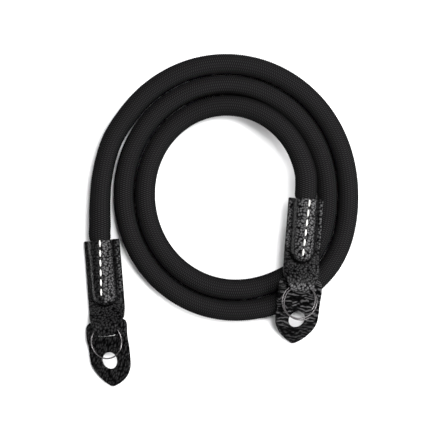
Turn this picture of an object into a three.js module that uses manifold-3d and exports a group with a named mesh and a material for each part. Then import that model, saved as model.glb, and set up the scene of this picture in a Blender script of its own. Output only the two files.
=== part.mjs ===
// A rope camera strap, lying coiled. A round braided rope carries a folded leather tab on each end.
// A tab grips the rope in a moulded tunnel, then folds round a split ring and through a slit in a
// leather pad, which keeps the ring off the camera. Millimetres, +Z up, the surface below is Z = 0.

import * as THREE from 'three';
import { mergeVertices } from 'three/addons/utils/BufferGeometryUtils.js';
import Module from 'manifold-3d';

const wasm = await Module();
wasm.setup();

// Rope
const ROPE_RADIUS = 5;
const ROPE_SIDES = 12;
const ROPE_STEPS = 80;
const ROPE_REST = ROPE_RADIUS * Math.cos(Math.PI / ROPE_SIDES);
const BOUND_RADIUS = 4.2;

// Coil: a flat spiral, wound clockwise and inward from its left side, slightly taller than wide.
// Angles are degrees wound from the left side, and rise is where the rope starts to climb. The
// outer turns bulge out where the right tab lies over them.
const COIL = { x: 4.95, y: 14.01, radius: 63.94, pitch: 10.25, oval: 1.56, ovalTurn: 98.3 };
const BULGE = { out: 2.5, at: 216, spread: 18 };
const WOUND = { from: 40, rise: 760, to: 882, step: 11 };

// The straight stretch from the left tab to the start of the coil.
const LEAD = [
  { x: -59.0, y: -2.2, z: 5.5 },
  { x: -59.1, y: 4.8, z: 5.1 },
  { x: -58.9, y: 12.4, z: ROPE_REST },
  { x: -58.2, y: 20.2, z: ROPE_REST },
  { x: -56.1, y: 30.6, z: ROPE_REST },
  { x: -52.5, y: 40.8, z: ROPE_REST },
];

// Where the rope runs straight out of a tab: distances before its mouth.
const MOUTH_STEPS = [0.9, 3.5];

// The rope's bound end inside a tunnel: distance in from the mouth.
const BOUND_END = [
  { along: -4, radius: BOUND_RADIUS + 0.1 },
  { along: 0.8, radius: BOUND_RADIUS },
  { along: 26.6, radius: BOUND_RADIUS },
  { along: 28.2, radius: 3.2 },
];

// Leather and clearances
const LEATHER = 1.1;
const PAD_LEATHER = 1.5;
const GAP = 0.3;
const MERGE_WITHIN = 1e-4;
const TUNNEL_RADIUS = BOUND_RADIUS + GAP + LEATHER / 2;
const TUNNEL_AXIS = LEATHER + GAP + BOUND_RADIUS;
const FLANGE = 1.5 * LEATHER + GAP;
const FOLD_RADIUS = 3.1;
const FOLD_AXIS = LEATHER / 2 + FOLD_RADIUS;
const FOLD_STEPS = 7;

// Half of the tunnel's section, from the leather's edge to the crown, in tunnel radii, with the
// same column's place on flat leather as a share of the half width.
const ARCH = [
  { out: 0, up: 0, flat: 1 },
  { out: 1.18, up: 0, flat: 0.78 },
  { out: 1.05, up: 0.28, flat: 0.68 },
  { out: 1, up: 0.7, flat: 0.58 },
  { out: 0.906, up: 1.146, flat: 0.45 },
  { out: 0.643, up: 1.489, flat: 0.3 },
  { out: 0.342, up: 1.663, flat: 0.15 },
  { out: 0, up: 1.723, flat: 0 },
];

// The strip's upper layer: a distance past the mouth, the tunnel's end or the fold, the height of
// the leather's middle, the tunnel's share of its full height, and the width to each side.
const UPPER = [
  { past: 'mouth', by: 0, level: FLANGE, tunnel: 1, left: 8.3, right: 9.1 },
  { past: 'mouth', by: 9, level: FLANGE, tunnel: 1, left: 8.3, right: 9.2 },
  { past: 'mouth', by: 19, level: FLANGE, tunnel: 1, left: 8.4, right: 9.2 },
  { past: 'end', by: -2.8, level: FLANGE, tunnel: 1, left: 8.5, right: 9.1 },
  { past: 'end', by: -1.5, level: FLANGE, tunnel: 0.93, left: 8.5, right: 9.1 },
  { past: 'end', by: -0.5, level: FLANGE, tunnel: 0.72, left: 8.5, right: 9.1 },
  { past: 'end', by: 0.2, level: FLANGE, tunnel: 0.4, left: 8.5, right: 9.1 },
  { past: 'end', by: 0.8, level: FLANGE, tunnel: 0.12, left: 8.5, right: 9.1 },
  { past: 'end', by: 1.8, level: FLANGE, tunnel: 0, left: 8.5, right: 9.1 },
  { past: 'fold', by: -10.9, level: 2.6, tunnel: 0, left: 8.5, right: 9.1 },
  { past: 'fold', by: -8.9, level: 3.6, tunnel: 0, left: 8.5, right: 9.1 },
  { past: 'fold', by: -7.4, level: 4.7, tunnel: 0, left: 8.3, right: 8.7 },
  { past: 'fold', by: -5.9, level: 5.8, tunnel: 0, left: 7.9, right: 8 },
  { past: 'fold', by: -4.6, level: 6.5, tunnel: 0, left: 7.2, right: 7.2 },
];

// The strip's lower layer, from the fold back to the mouth.
const LOWER = [
  { past: 'fold', by: -4.6, left: 6.2, right: 6.2 },
  { past: 'fold', by: -5.9, left: 7.1, right: 7.1 },
  { past: 'fold', by: -8.9, left: 8.3, right: 8.9 },
  { past: 'end', by: 1.8, left: 8.5, right: 9.1 },
  { past: 'mouth', by: 15, left: 8.4, right: 9.2 },
  { past: 'mouth', by: 0, left: 8.3, right: 9.1 },
];
const NECK = { start: 6.6, fold: 4.1, finish: 5.3 };

// The pad's outline: distance from its upper edge and width to each side.
const PAD = [
  { along: 0, left: 8.2, right: 8.4 },
  { along: 0.7, left: 9.6, right: 9.8 },
  { along: 2.2, left: 10.5, right: 10.7 },
  { along: 5, left: 10.8, right: 11 },
  { along: 10, left: 10.8, right: 11.1 },
  { along: 15, left: 10.8, right: 11.1 },
  { along: 18.5, left: 10.6, right: 11.1 },
  { along: 21.5, left: 10, right: 10.8 },
  { along: 24.5, left: 8.5, right: 9.5 },
  { along: 27, left: 6.6, right: 7.4 },
  { along: 29.3, left: 4.2, right: 4.7 },
  { along: 30.8, left: 2.1, right: 2.3 },
  { along: 31.5, left: 0.8, right: 0.8 },
];
const PAD_COLUMNS = 10;
const PAD_LEVEL = LEATHER + GAP;
const PAD_SETTLE = 6.5;
const HOLE_RADIUS = 4;
const HOLE_SIDES = 24;
const SLIT = { half: 6.2, before: 3.6, after: 0.4 };
const CUT_DEPTH = 8;

// Split ring: a flat wire wound nearly twice round.
const RING = { radius: 8.3, turns: 1.92, start: -60, pitch: 0.76 };
const WIRE = { axial: 0.28, radial: 0.43, sides: 8, steps: 52 };

// Each end: where its mouth is, the way it points in degrees, distances from the mouth to its
// features, and how it lies: height of its underside and roll, right side up, along it. Draw is
// the share of the roll's sideways lean that the lifted leather takes back. A ring tilts up toward
// the mouth and leans right side up against the leather under it.
const ENDS = {
  left: {
    x: -58.85,
    y: -9.4,
    heading: -85.2,
    mouth: 0,
    end: 31,
    fold: 47.2,
    draw: 0.8,
    padTop: 40.2,
    padTip: 0.3,
    hole: 59,
    ring: { along: 49.8, across: 0.4, up: 3.65, tilt: 3, lean: 2 },
    lie: [
      { along: 0, height: 0, roll: 0 },
      { along: 32, height: 0, roll: 0 },
      { along: 40, height: 2.2, roll: 13 },
      { along: 46, height: 3.7, roll: 20 },
      { along: 53, height: 4.3, roll: 22 },
      { along: 60, height: 4.1, roll: 22 },
      { along: 64, height: 3.5, roll: 22 },
      { along: 72, height: 1, roll: 20 },
    ],
  },
  right: {
    x: 41.45,
    y: 11,
    heading: -94.2,
    mouth: 0,
    end: 30,
    fold: 44.8,
    draw: 0.3,
    padTop: 39.4,
    padTip: -0.8,
    hole: 58.8,
    ring: { along: 49.2, across: -0.1, up: 4, tilt: -6, lean: 2.5 },
    lie: [
      { along: 0, height: 10.1, roll: 4 },
      { along: 31, height: 10.1, roll: 4 },
      { along: 40, height: 10.6, roll: -5 },
      { along: 45, height: 10.3, roll: -9.5 },
      { along: 50, height: 9.3, roll: -10.5 },
      { along: 55, height: 7.5, roll: -12 },
      { along: 60, height: 5.2, roll: -12 },
      { along: 65, height: 2.9, roll: -11 },
      { along: 71, height: 0.8, roll: -9 },
    ],
  },
};

const MATERIALS = {
  rope: new THREE.MeshStandardMaterial({ color: 0x1b1b1d, roughness: 0.9, metalness: 0 }),
  leather: new THREE.MeshStandardMaterial({ color: 0x141416, roughness: 0.55, metalness: 0 }),
  steel: new THREE.MeshStandardMaterial({ color: 0x3c3b3d, roughness: 0.3, metalness: 1 }),
};

// A smooth curve through one column of a table, which keeps level stretches level.
function through(rows, column, at) {
  const last = rows.length - 1;
  const where = THREE.MathUtils.clamp(at, rows[0].along, rows[last].along);
  const n = Math.min(last, rows.findIndex((row, i) => i > 0 && where <= row.along)) - 1;
  const slope = (i) => (rows[i + 1][column] - rows[i][column]) / (rows[i + 1].along - rows[i].along);
  const lean = (i) => {
    const before = slope(Math.max(0, i - 1));
    const after = slope(Math.min(last - 1, i));
    return before * after > 0 ? (2 * before * after) / (before + after) : 0;
  };
  const run = rows[n + 1].along - rows[n].along;
  const t = (where - rows[n].along) / run;
  const s = 1 - t;
  const ends = rows[n][column] * (1 + 2 * t) * s * s + rows[n + 1][column] * (1 + 2 * s) * t * t;
  return ends + run * (lean(n) * t * s * s - lean(n + 1) * t * t * s);
}

// The frame of an end at a distance from its mouth: side to the right, normal up off the leather.
function frameAt(end, along) {
  const turn = THREE.MathUtils.degToRad(end.heading);
  const ahead = new THREE.Vector3(Math.cos(turn), Math.sin(turn), 0);
  const level = new THREE.Vector3(-ahead.y, ahead.x, 0);
  const reach = 0.2;
  const rise = through(end.lie, 'height', along + reach) - through(end.lie, 'height', along - reach);
  const forward = ahead.clone().setZ(rise / (2 * reach)).normalize();
  const up = new THREE.Vector3().crossVectors(forward, level);
  const roll = THREE.MathUtils.degToRad(through(end.lie, 'roll', along));
  const side = level.clone().multiplyScalar(Math.cos(roll)).addScaledVector(up, Math.sin(roll));
  const normal = new THREE.Vector3().crossVectors(forward, side);
  const origin = new THREE.Vector3(end.x, end.y, 0).addScaledVector(ahead, along);
  origin.z = through(end.lie, 'height', along);
  return { origin, side, forward, normal };
}

// A point of an end: across its width, along it from the mouth, and up off its underside.
function place(end, across, along, up) {
  const frame = frameAt(end, along);
  return frame.origin.addScaledVector(frame.side, across).addScaledVector(frame.normal, up);
}

// The matrix that stands a shape on an end: X across, Y back to the mouth, Z up.
function standing(end, across, along, up) {
  const { side, forward, normal } = frameAt(end, along);
  const matrix = new THREE.Matrix4().makeBasis(side, forward.clone().negate(), normal);
  return matrix.setPosition(place(end, across, along, up));
}

// A sheet of even thickness about a grid of points, rows along it and columns across it.
function sheet(grid, thickness) {
  const rows = grid.length;
  const columns = grid[0].length;
  const outer = [];
  const inner = [];
  for (let i = 0; i < rows; i += 1) {
    for (let j = 0; j < columns; j += 1) {
      const ahead = grid[Math.min(rows - 1, i + 1)][j].clone().sub(grid[Math.max(0, i - 1)][j]);
      const aside = grid[i][Math.min(columns - 1, j + 1)].clone().sub(grid[i][Math.max(0, j - 1)]);
      const normal = ahead.cross(aside).setLength(thickness / 2);
      outer.push(...grid[i][j].clone().add(normal).toArray());
      inner.push(...grid[i][j].clone().sub(normal).toArray());
    }
  }
  const top = (i, j) => i * columns + j;
  const under = (i, j) => rows * columns + i * columns + j;
  const index = [];
  const quad = (a, b, c, d) => index.push(a, b, c, a, c, d);
  for (let i = 0; i < rows - 1; i += 1) {
    for (let j = 0; j < columns - 1; j += 1) {
      quad(top(i, j), top(i + 1, j), top(i + 1, j + 1), top(i, j + 1));
      quad(under(i, j), under(i, j + 1), under(i + 1, j + 1), under(i + 1, j));
    }
    const edge = columns - 1;
    quad(top(i + 1, 0), top(i, 0), under(i, 0), under(i + 1, 0));
    quad(top(i, edge), top(i + 1, edge), under(i + 1, edge), under(i, edge));
  }
  for (let j = 0; j < columns - 1; j += 1) {
    const foot = rows - 1;
    quad(top(0, j), top(0, j + 1), under(0, j + 1), under(0, j));
    quad(top(foot, j + 1), top(foot, j), under(foot, j), under(foot, j + 1));
  }
  const geometry = new THREE.BufferGeometry();
  geometry.setAttribute('position', new THREE.Float32BufferAttribute([...outer, ...inner], 3));
  geometry.setIndex(index);
  return geometry;
}

// A closed geometry as a solid for joining and cutting.
function solid(geometry) {
  const bare = geometry.clone();
  bare.deleteAttribute('normal');
  bare.deleteAttribute('uv');
  const merged = mergeVertices(bare, MERGE_WITHIN);
  const corners = merged.index.array;
  const kept = [];
  for (let n = 0; n < corners.length; n += 3) {
    const [a, b, c] = corners.slice(n, n + 3);
    if (a !== b && b !== c && c !== a) {
      kept.push(a, b, c);
    }
  }
  const vertProperties = new Float32Array(merged.attributes.position.array);
  const triVerts = new Uint32Array(kept);
  return new wasm.Manifold(new wasm.Mesh({ numProp: 3, vertProperties, triVerts }));
}

// A solid back as a geometry.
function geometryOf(body) {
  const { vertProperties, triVerts } = body.getMesh();
  const geometry = new THREE.BufferGeometry();
  geometry.setAttribute('position', new THREE.Float32BufferAttribute(vertProperties, 3));
  geometry.setIndex([...triVerts]);
  return geometry;
}

// A regular section with flats on its sides, half as wide and as high as given.
function section(halfX, halfY, sides) {
  const shape = new THREE.Shape();
  const corners = [];
  for (let n = 0; n < sides; n += 1) {
    const angle = ((n + 0.5) / sides) * 2 * Math.PI;
    corners.push(new THREE.Vector2(halfX * Math.cos(angle), halfY * Math.sin(angle)));
  }
  return shape.setFromPoints(corners);
}

// The rope's centreline: out of the left tab, round the coil and up into the right tab.
function ropeRoute() {
  const points = MOUTH_STEPS.map((step) => place(ENDS.left, 0, -step, TUNNEL_AXIS));
  for (const { x, y, z } of LEAD) {
    points.push(new THREE.Vector3(x, y, z));
  }
  const finish = MOUTH_STEPS.map((step) => place(ENDS.right, 0, -step, TUNNEL_AXIS)).reverse();
  for (let wound = WOUND.from; wound <= WOUND.to; wound += WOUND.step) {
    const turn = THREE.MathUtils.degToRad(180 - wound);
    const oval = COIL.oval * Math.cos(2 * (turn - THREE.MathUtils.degToRad(COIL.ovalTurn)));
    const bulge = BULGE.out * Math.exp(-0.5 * (((wound % 360) - BULGE.at) / BULGE.spread) ** 2);
    const radius = COIL.radius - (COIL.pitch * wound) / 360 + oval + bulge;
    const climb = THREE.MathUtils.smoothstep(wound, WOUND.rise, WOUND.to + WOUND.step);
    const height = THREE.MathUtils.lerp(ROPE_REST, finish[0].z, climb);
    points.push(new THREE.Vector3(
      COIL.x + radius * Math.cos(turn),
      COIL.y + radius * Math.sin(turn),
      height,
    ));
  }
  points.push(...finish);
  return new THREE.CatmullRomCurve3(points, false, 'centripetal');
}

// The bound end of the rope inside one tab's tunnel.
function boundEnd(end) {
  const profile = BOUND_END.map(({ along, radius }) => new THREE.Vector2(radius, -along));
  const first = BOUND_END[0];
  const last = BOUND_END[BOUND_END.length - 1];
  const closed = [new THREE.Vector2(0, -first.along), ...profile, new THREE.Vector2(0, -last.along)];
  const lathe = new THREE.LatheGeometry(closed.reverse(), ROPE_SIDES);
  return solid(lathe.applyMatrix4(standing(end, 0, 0, TUNNEL_AXIS)));
}

function ropeGeometry() {
  const tube = new THREE.ExtrudeGeometry(section(ROPE_RADIUS, ROPE_RADIUS, ROPE_SIDES), {
    steps: ROPE_STEPS,
    extrudePath: ropeRoute(),
  });
  return geometryOf(solid(tube).add(boundEnd(ENDS.left)).add(boundEnd(ENDS.right)));
}

// One row of the strip's grid: flat leather, or leather drawn over the rope into a tunnel.
function stripRow(end, along, { level, tunnel, left, right }) {
  const roll = THREE.MathUtils.degToRad(through(end.lie, 'roll', along));
  const drawn = end.draw * (1 - tunnel) * (level - LEATHER / 2) * Math.tan(roll);
  const half = (width, sign) => ARCH.map(({ out, up, flat }, n) => {
    const arched = n === 0 ? width : out * TUNNEL_RADIUS;
    const across = THREE.MathUtils.lerp(flat * width, arched, tunnel);
    return place(end, drawn + sign * across, along, level + tunnel * up * TUNNEL_RADIUS);
  });
  return [...half(left, -1), ...half(right, 1).reverse().slice(1)];
}

// One leather strip: over the rope, round the ring at the fold, and back underneath.
function tabGeometry(end) {
  const grid = UPPER.map((row) => stripRow(end, end[row.past] + row.by, row));
  for (let n = 0; n <= FOLD_STEPS; n += 1) {
    const bend = (n / FOLD_STEPS) * Math.PI;
    const along = end.fold - FOLD_AXIS + FOLD_RADIUS * Math.sin(bend);
    const level = FOLD_AXIS + FOLD_RADIUS * Math.cos(bend);
    const outside = n < FOLD_STEPS / 2 ? NECK.start : NECK.finish;
    const half = THREE.MathUtils.lerp(outside, NECK.fold, Math.sin(bend) ** 2);
    grid.push(stripRow(end, along, { level, tunnel: 0, left: half, right: half }));
  }
  for (const row of LOWER) {
    grid.push(stripRow(end, end[row.past] + row.by, { ...row, level: LEATHER / 2, tunnel: 0 }));
  }
  return sheet(grid, LEATHER);
}

// The leather pad: its upper part lies inside the fold, and it settles down past the slit.
function padGeometry(end) {
  const length = PAD[PAD.length - 1].along;
  const grid = PAD.map(({ along, left, right }) => {
    const at = end.padTop + along;
    const settled = THREE.MathUtils.smoothstep(at, end.fold, end.fold + PAD_SETTLE);
    const level = PAD_LEVEL * (1 - settled) + PAD_LEATHER / 2;
    const middle = end.padTip * (along / length) ** 2;
    const row = [];
    for (let n = 0; n <= PAD_COLUMNS; n += 1) {
      row.push(place(end, middle + THREE.MathUtils.lerp(-left, right, n / PAD_COLUMNS), at, level));
    }
    return row;
  });
  const hole = new THREE.CylinderGeometry(HOLE_RADIUS, HOLE_RADIUS, CUT_DEPTH, HOLE_SIDES);
  hole.rotateX(Math.PI / 2);
  hole.applyMatrix4(standing(end, 0, end.hole, PAD_LEATHER / 2));
  const slit = new THREE.BoxGeometry(2 * SLIT.half, SLIT.before + SLIT.after, CUT_DEPTH);
  const slitAt = end.fold + (SLIT.after - SLIT.before) / 2;
  slit.applyMatrix4(standing(end, 0, slitAt, PAD_LEVEL + PAD_LEATHER / 2));
  return geometryOf(solid(sheet(grid, PAD_LEATHER)).subtract(solid(hole)).subtract(solid(slit)));
}

// The wire's path: a low helix of nearly two turns about the ring's own axis.
class RingPath extends THREE.Curve {
  getPoint(t, target = new THREE.Vector3()) {
    const angle = THREE.MathUtils.degToRad(RING.start) + t * RING.turns * 2 * Math.PI;
    const height = RING.pitch * RING.turns * (t - 0.5);
    return target.set(RING.radius * Math.cos(angle), RING.radius * Math.sin(angle), height);
  }
}

function ringGeometry() {
  return new THREE.ExtrudeGeometry(section(WIRE.axial, WIRE.radial, WIRE.sides), {
    steps: WIRE.steps,
    extrudePath: new RingPath(),
  });
}

function addMesh(group, name, geometry, material) {
  const mesh = new THREE.Mesh(geometry, material);
  mesh.name = name;
  group.add(mesh);
  return mesh;
}

const strap = new THREE.Group();
addMesh(strap, 'rope', ropeGeometry(), MATERIALS.rope);
for (const [name, end] of Object.entries(ENDS)) {
  addMesh(strap, `tab_${name}`, tabGeometry(end), MATERIALS.leather);
  addMesh(strap, `pad_${name}`, padGeometry(end), MATERIALS.leather);
  const ring = addMesh(strap, `ring_${name}`, ringGeometry(), MATERIALS.steel);
  const { along, across, up, tilt, lean } = end.ring;
  ring.applyMatrix4(standing(end, across, along, up));
  ring.rotateX(THREE.MathUtils.degToRad(tilt));
  ring.rotateY(-THREE.MathUtils.degToRad(lean));
}

export default strap;
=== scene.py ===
"""Dress a coiled rope camera strap: its braid, its leather ends, its split rings and its stitches.

Sizes are millimetres, as a maker would give them, and MM turns them into the frame's metres.
The frame has +Z up, and the strap lies on Z = 0. At each end of the strap a place is given as
across it, along it from the mouth of its tunnel, and up off its underside.
"""

import logging
import math
from dataclasses import dataclass
from enum import Enum, IntEnum
from typing import Any, ClassVar, NamedTuple

import bpy
import numpy as np
from mathutils import Matrix, Vector
from mathutils.geometry import delaunay_2d_cdt


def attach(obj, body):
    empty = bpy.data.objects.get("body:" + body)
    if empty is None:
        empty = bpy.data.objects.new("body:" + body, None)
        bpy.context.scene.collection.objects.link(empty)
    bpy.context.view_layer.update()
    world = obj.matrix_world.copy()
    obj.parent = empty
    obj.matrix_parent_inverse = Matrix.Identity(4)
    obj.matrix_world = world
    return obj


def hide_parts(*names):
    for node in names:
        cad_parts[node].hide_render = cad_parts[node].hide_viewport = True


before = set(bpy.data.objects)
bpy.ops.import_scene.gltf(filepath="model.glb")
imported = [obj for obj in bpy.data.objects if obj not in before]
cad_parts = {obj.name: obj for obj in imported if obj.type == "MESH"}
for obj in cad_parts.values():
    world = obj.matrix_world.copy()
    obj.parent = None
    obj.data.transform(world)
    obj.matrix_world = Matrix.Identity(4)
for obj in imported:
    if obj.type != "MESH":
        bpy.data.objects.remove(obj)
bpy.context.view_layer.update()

LOG = logging.getLogger("strap")
MM = 0.001
BODY = "root"
UP = np.array((0.0, 0.0, 1.0))


class Slot(Enum):
    """The record's material slots."""

    ROPE = "rope"
    LEATHER = "leather"
    STEEL = "steel"


class Side(Enum):
    """The two ends of the strap, as they lie."""

    LEFT = "left"
    RIGHT = "right"


class Anchor(Enum):
    """The places along an end that its leather is measured from."""

    MOUTH = "mouth"
    END = "end"
    FOLD = "fold"


class LieRow(NamedTuple):
    """How an end lies at one distance from its mouth."""

    along: float
    height: float
    roll: float


class StripRow(NamedTuple):
    """One section of a leather strip."""

    past: Anchor
    by: float
    level: float
    tunnel: float
    left: float
    right: float


class ArchRow(NamedTuple):
    """One point of half the tunnel's section, in tunnel radii, and its share of a flat half width."""

    out: float
    up: float
    flat: float


class PadRow(NamedTuple):
    """The pad's width to each side at one distance from its upper edge."""

    along: float
    left: float
    right: float


class StripSpots(NamedTuple):
    """Places on a strip's face: across the end, round the section, along the strip, along the end,
    the flat leather's level, the tunnel's share of its height there, that share a short way back,
    and the share of the fold's bend.
    """

    across: np.ndarray
    girth: np.ndarray
    path: np.ndarray
    along: np.ndarray
    level: np.ndarray
    tunnel: np.ndarray
    before: np.ndarray
    bend: np.ndarray


class Strip(NamedTuple):
    """A leather strip's sections, the way along it to each of them, and the rows that it is cut into."""

    table: np.ndarray
    path: np.ndarray
    at: np.ndarray

    def tunnel(self, at: np.ndarray) -> np.ndarray:
        """Read the tunnel's share of its full height at places along the strip."""
        return through(np.ravel(at), self.path, self.table[:, 2]).reshape(np.shape(at))


class RingSeat(NamedTuple):
    """Where a split ring sits on its end, how it leans in degrees, and how far its coils slip apart."""

    along: float
    across: float
    up: float
    tilt: float
    lean: float
    slip: tuple[float, float]


class StitchLine(NamedTuple):
    """A straight run of stitches over a tunnel: its first and last stitch."""

    along: tuple[float, float]
    across: tuple[float, float]


# Rope and leather sizes
ROPE_REST = 4.83
BOUND_RADIUS = 4.2
LEATHER = 1.1
PAD_LEATHER = 1.5
GAP = 0.3
TUNNEL_RADIUS = BOUND_RADIUS + GAP + LEATHER / 2
TUNNEL_AXIS = LEATHER + GAP + BOUND_RADIUS
FLANGE = 1.5 * LEATHER + GAP
FOLD_RADIUS = 3.1
FOLD_AXIS = LEATHER / 2 + FOLD_RADIUS
PAD_LEVEL = LEATHER + GAP
PAD_SETTLE = 6.5

# Half the tunnel's section, from the strip's edge to the crown
ARCH = (
    ArchRow(0, 0, 1),
    ArchRow(1.32, 0, 0.84),
    ArchRow(1.17, 0.06, 0.76),
    ArchRow(1.05, 0.36, 0.66),
    ArchRow(0.95, 0.84, 0.56),
    ArchRow(0.8, 1.25, 0.45),
    ArchRow(0.57, 1.53, 0.3),
    ArchRow(0.3, 1.66, 0.15),
    ArchRow(0, 1.7, 0),
)
# The strip's upper layer, from the mouth to the fold
UPPER = (
    StripRow(Anchor.MOUTH, 0, FLANGE, 1, 8.3, 9.1),
    StripRow(Anchor.MOUTH, 9, FLANGE, 1, 8.3, 9.2),
    StripRow(Anchor.MOUTH, 19, FLANGE, 1, 8.4, 9.2),
    StripRow(Anchor.END, -2.8, FLANGE, 1, 8.5, 9.1),
    StripRow(Anchor.END, -1.5, FLANGE, 0.93, 8.5, 9.1),
    StripRow(Anchor.END, -0.5, FLANGE, 0.72, 8.5, 9.1),
    StripRow(Anchor.END, 0.2, FLANGE, 0.4, 8.5, 9.1),
    StripRow(Anchor.END, 0.8, FLANGE, 0.12, 8.5, 9.1),
    StripRow(Anchor.END, 1.8, FLANGE, 0, 8.5, 9.1),
    StripRow(Anchor.FOLD, -10.9, 2.6, 0, 8.5, 9.1),
    StripRow(Anchor.FOLD, -8.9, 3.6, 0, 8.5, 9.1),
    StripRow(Anchor.FOLD, -7.4, 4.7, 0, 8.3, 8.7),
    StripRow(Anchor.FOLD, -5.9, 5.8, 0, 7.9, 8),
    StripRow(Anchor.FOLD, -4.6, 6.5, 0, 7.2, 7.2),
)
# The strip's lower layer, from the fold back to the mouth
LOWER = (
    StripRow(Anchor.FOLD, -4.6, LEATHER / 2, 0, 6.2, 6.2),
    StripRow(Anchor.FOLD, -5.9, LEATHER / 2, 0, 7.1, 7.1),
    StripRow(Anchor.FOLD, -8.9, LEATHER / 2, 0, 8.3, 8.9),
    StripRow(Anchor.END, 1.8, LEATHER / 2, 0, 8.5, 9.1),
    StripRow(Anchor.MOUTH, 15, LEATHER / 2, 0, 8.4, 9.2),
    StripRow(Anchor.MOUTH, 0, LEATHER / 2, 0, 8.3, 9.1),
)
# The pad's outline, from its upper edge to its tip
PAD = (
    PadRow(0, 8.2, 8.4),
    PadRow(0.7, 9.6, 9.8),
    PadRow(2.2, 10.5, 10.7),
    PadRow(5, 10.8, 11),
    PadRow(10, 10.8, 11.1),
    PadRow(15, 10.8, 11.1),
    PadRow(18.5, 10.6, 11.1),
    PadRow(21.5, 10, 10.8),
    PadRow(24.5, 8.5, 9.5),
    PadRow(27, 6.6, 7.4),
    PadRow(29.3, 4.2, 4.7),
    PadRow(30.8, 2.1, 2.3),
    PadRow(31.5, 0.8, 0.8),
)


def through(at: np.ndarray, stations: np.ndarray, values: np.ndarray) -> np.ndarray:
    """Follow a smooth curve through table values without overshooting them.

    Args:
        at: Where to read the curve, one number each.
        stations: Rising positions of the table's rows.
        values: The table's values, rows first, with any further axes.

    Returns:
        The curve's values, one row for each position asked for.
    """
    values = np.asarray(values, float)
    wide = (slice(None),) + (None,) * (values.ndim - 1)
    step = np.diff(stations)[wide]
    slope = np.diff(values, axis=0) / step
    before = np.concatenate((slope[:1], slope))
    after = np.concatenate((slope, slope[-1:]))
    total = np.where(before + after == 0, 1, before + after)
    lean = np.where(before * after > 0, 2 * before * after / total, 0)
    where = np.clip(at, stations[0], stations[-1])
    n = np.clip(np.searchsorted(stations, where) - 1, 0, len(stations) - 2)
    run = np.diff(stations)[n][wide]
    t = ((where - np.asarray(stations)[n]) / np.diff(stations)[n])[wide]
    s = 1 - t
    ends = values[n] * (1 + 2 * t) * s * s + values[n + 1] * (1 + 2 * s) * t * t
    return ends + run * (lean[n] * t * s * s - lean[n + 1] * t * t * s)


def smoothstep(at: np.ndarray, low: float, high: float) -> np.ndarray:
    """Ease from 0 at low to 1 at high."""
    t = np.clip((np.asarray(at, float) - low) / (high - low), 0, 1)
    return t * t * (3 - 2 * t)


def unit(vectors: np.ndarray) -> np.ndarray:
    """Scale vectors to length one."""
    return vectors / np.linalg.norm(vectors, axis=-1, keepdims=True)


def lengths(points: np.ndarray) -> np.ndarray:
    """Measure the way along a polyline to each of its points."""
    return np.concatenate(((0,), np.cumsum(np.linalg.norm(np.diff(points, axis=0), axis=1))))


def even_steps(points: np.ndarray, step: float) -> np.ndarray:
    """Space points evenly along a polyline.

    Args:
        points: The polyline, rows of coordinates.
        step: The spacing wanted, which is adjusted to fit the length.

    Returns:
        The evenly spaced points, both ends kept.
    """
    reach = lengths(points)
    count = max(2, int(round(reach[-1] / step)) + 1)
    at = np.linspace(0, reach[-1], count)
    return np.stack([np.interp(at, reach, points[:, k]) for k in range(points.shape[1])], axis=1)


def soft_curve(points: np.ndarray, samples: int = 24) -> np.ndarray:
    """Run a centripetal Catmull-Rom curve through points.

    Args:
        points: The points to pass through, rows of coordinates.
        samples: How many points each stretch is cut into.

    Returns:
        The curve as a fine polyline.
    """
    padded = np.vstack((2 * points[0] - points[1], points, 2 * points[-1] - points[-2]))
    knots = np.sqrt(np.linalg.norm(np.diff(padded, axis=0), axis=1))[:, None]
    chords = np.diff(padded, axis=0)
    double = padded[2:] - padded[:-2]
    tangents = chords[:-1] / knots[:-1] - double / (knots[:-1] + knots[1:]) + chords[1:] / knots[1:]
    run = knots[1:-1]
    leave, arrive = tangents[:-1] * run, tangents[1:] * run
    t = np.linspace(0, 1, samples, endpoint=False)[:, None, None]
    start, stop = points[:-1], points[1:]
    line = (
        start * (2 * t**3 - 3 * t**2 + 1)
        + leave * (t**3 - 2 * t**2 + t)
        + stop * (3 * t**2 - 2 * t**3)
        + arrive * (t**3 - t**2)
    )
    return np.vstack((line.transpose(1, 0, 2).reshape(-1, points.shape[1]), points[-1:]))


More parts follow.
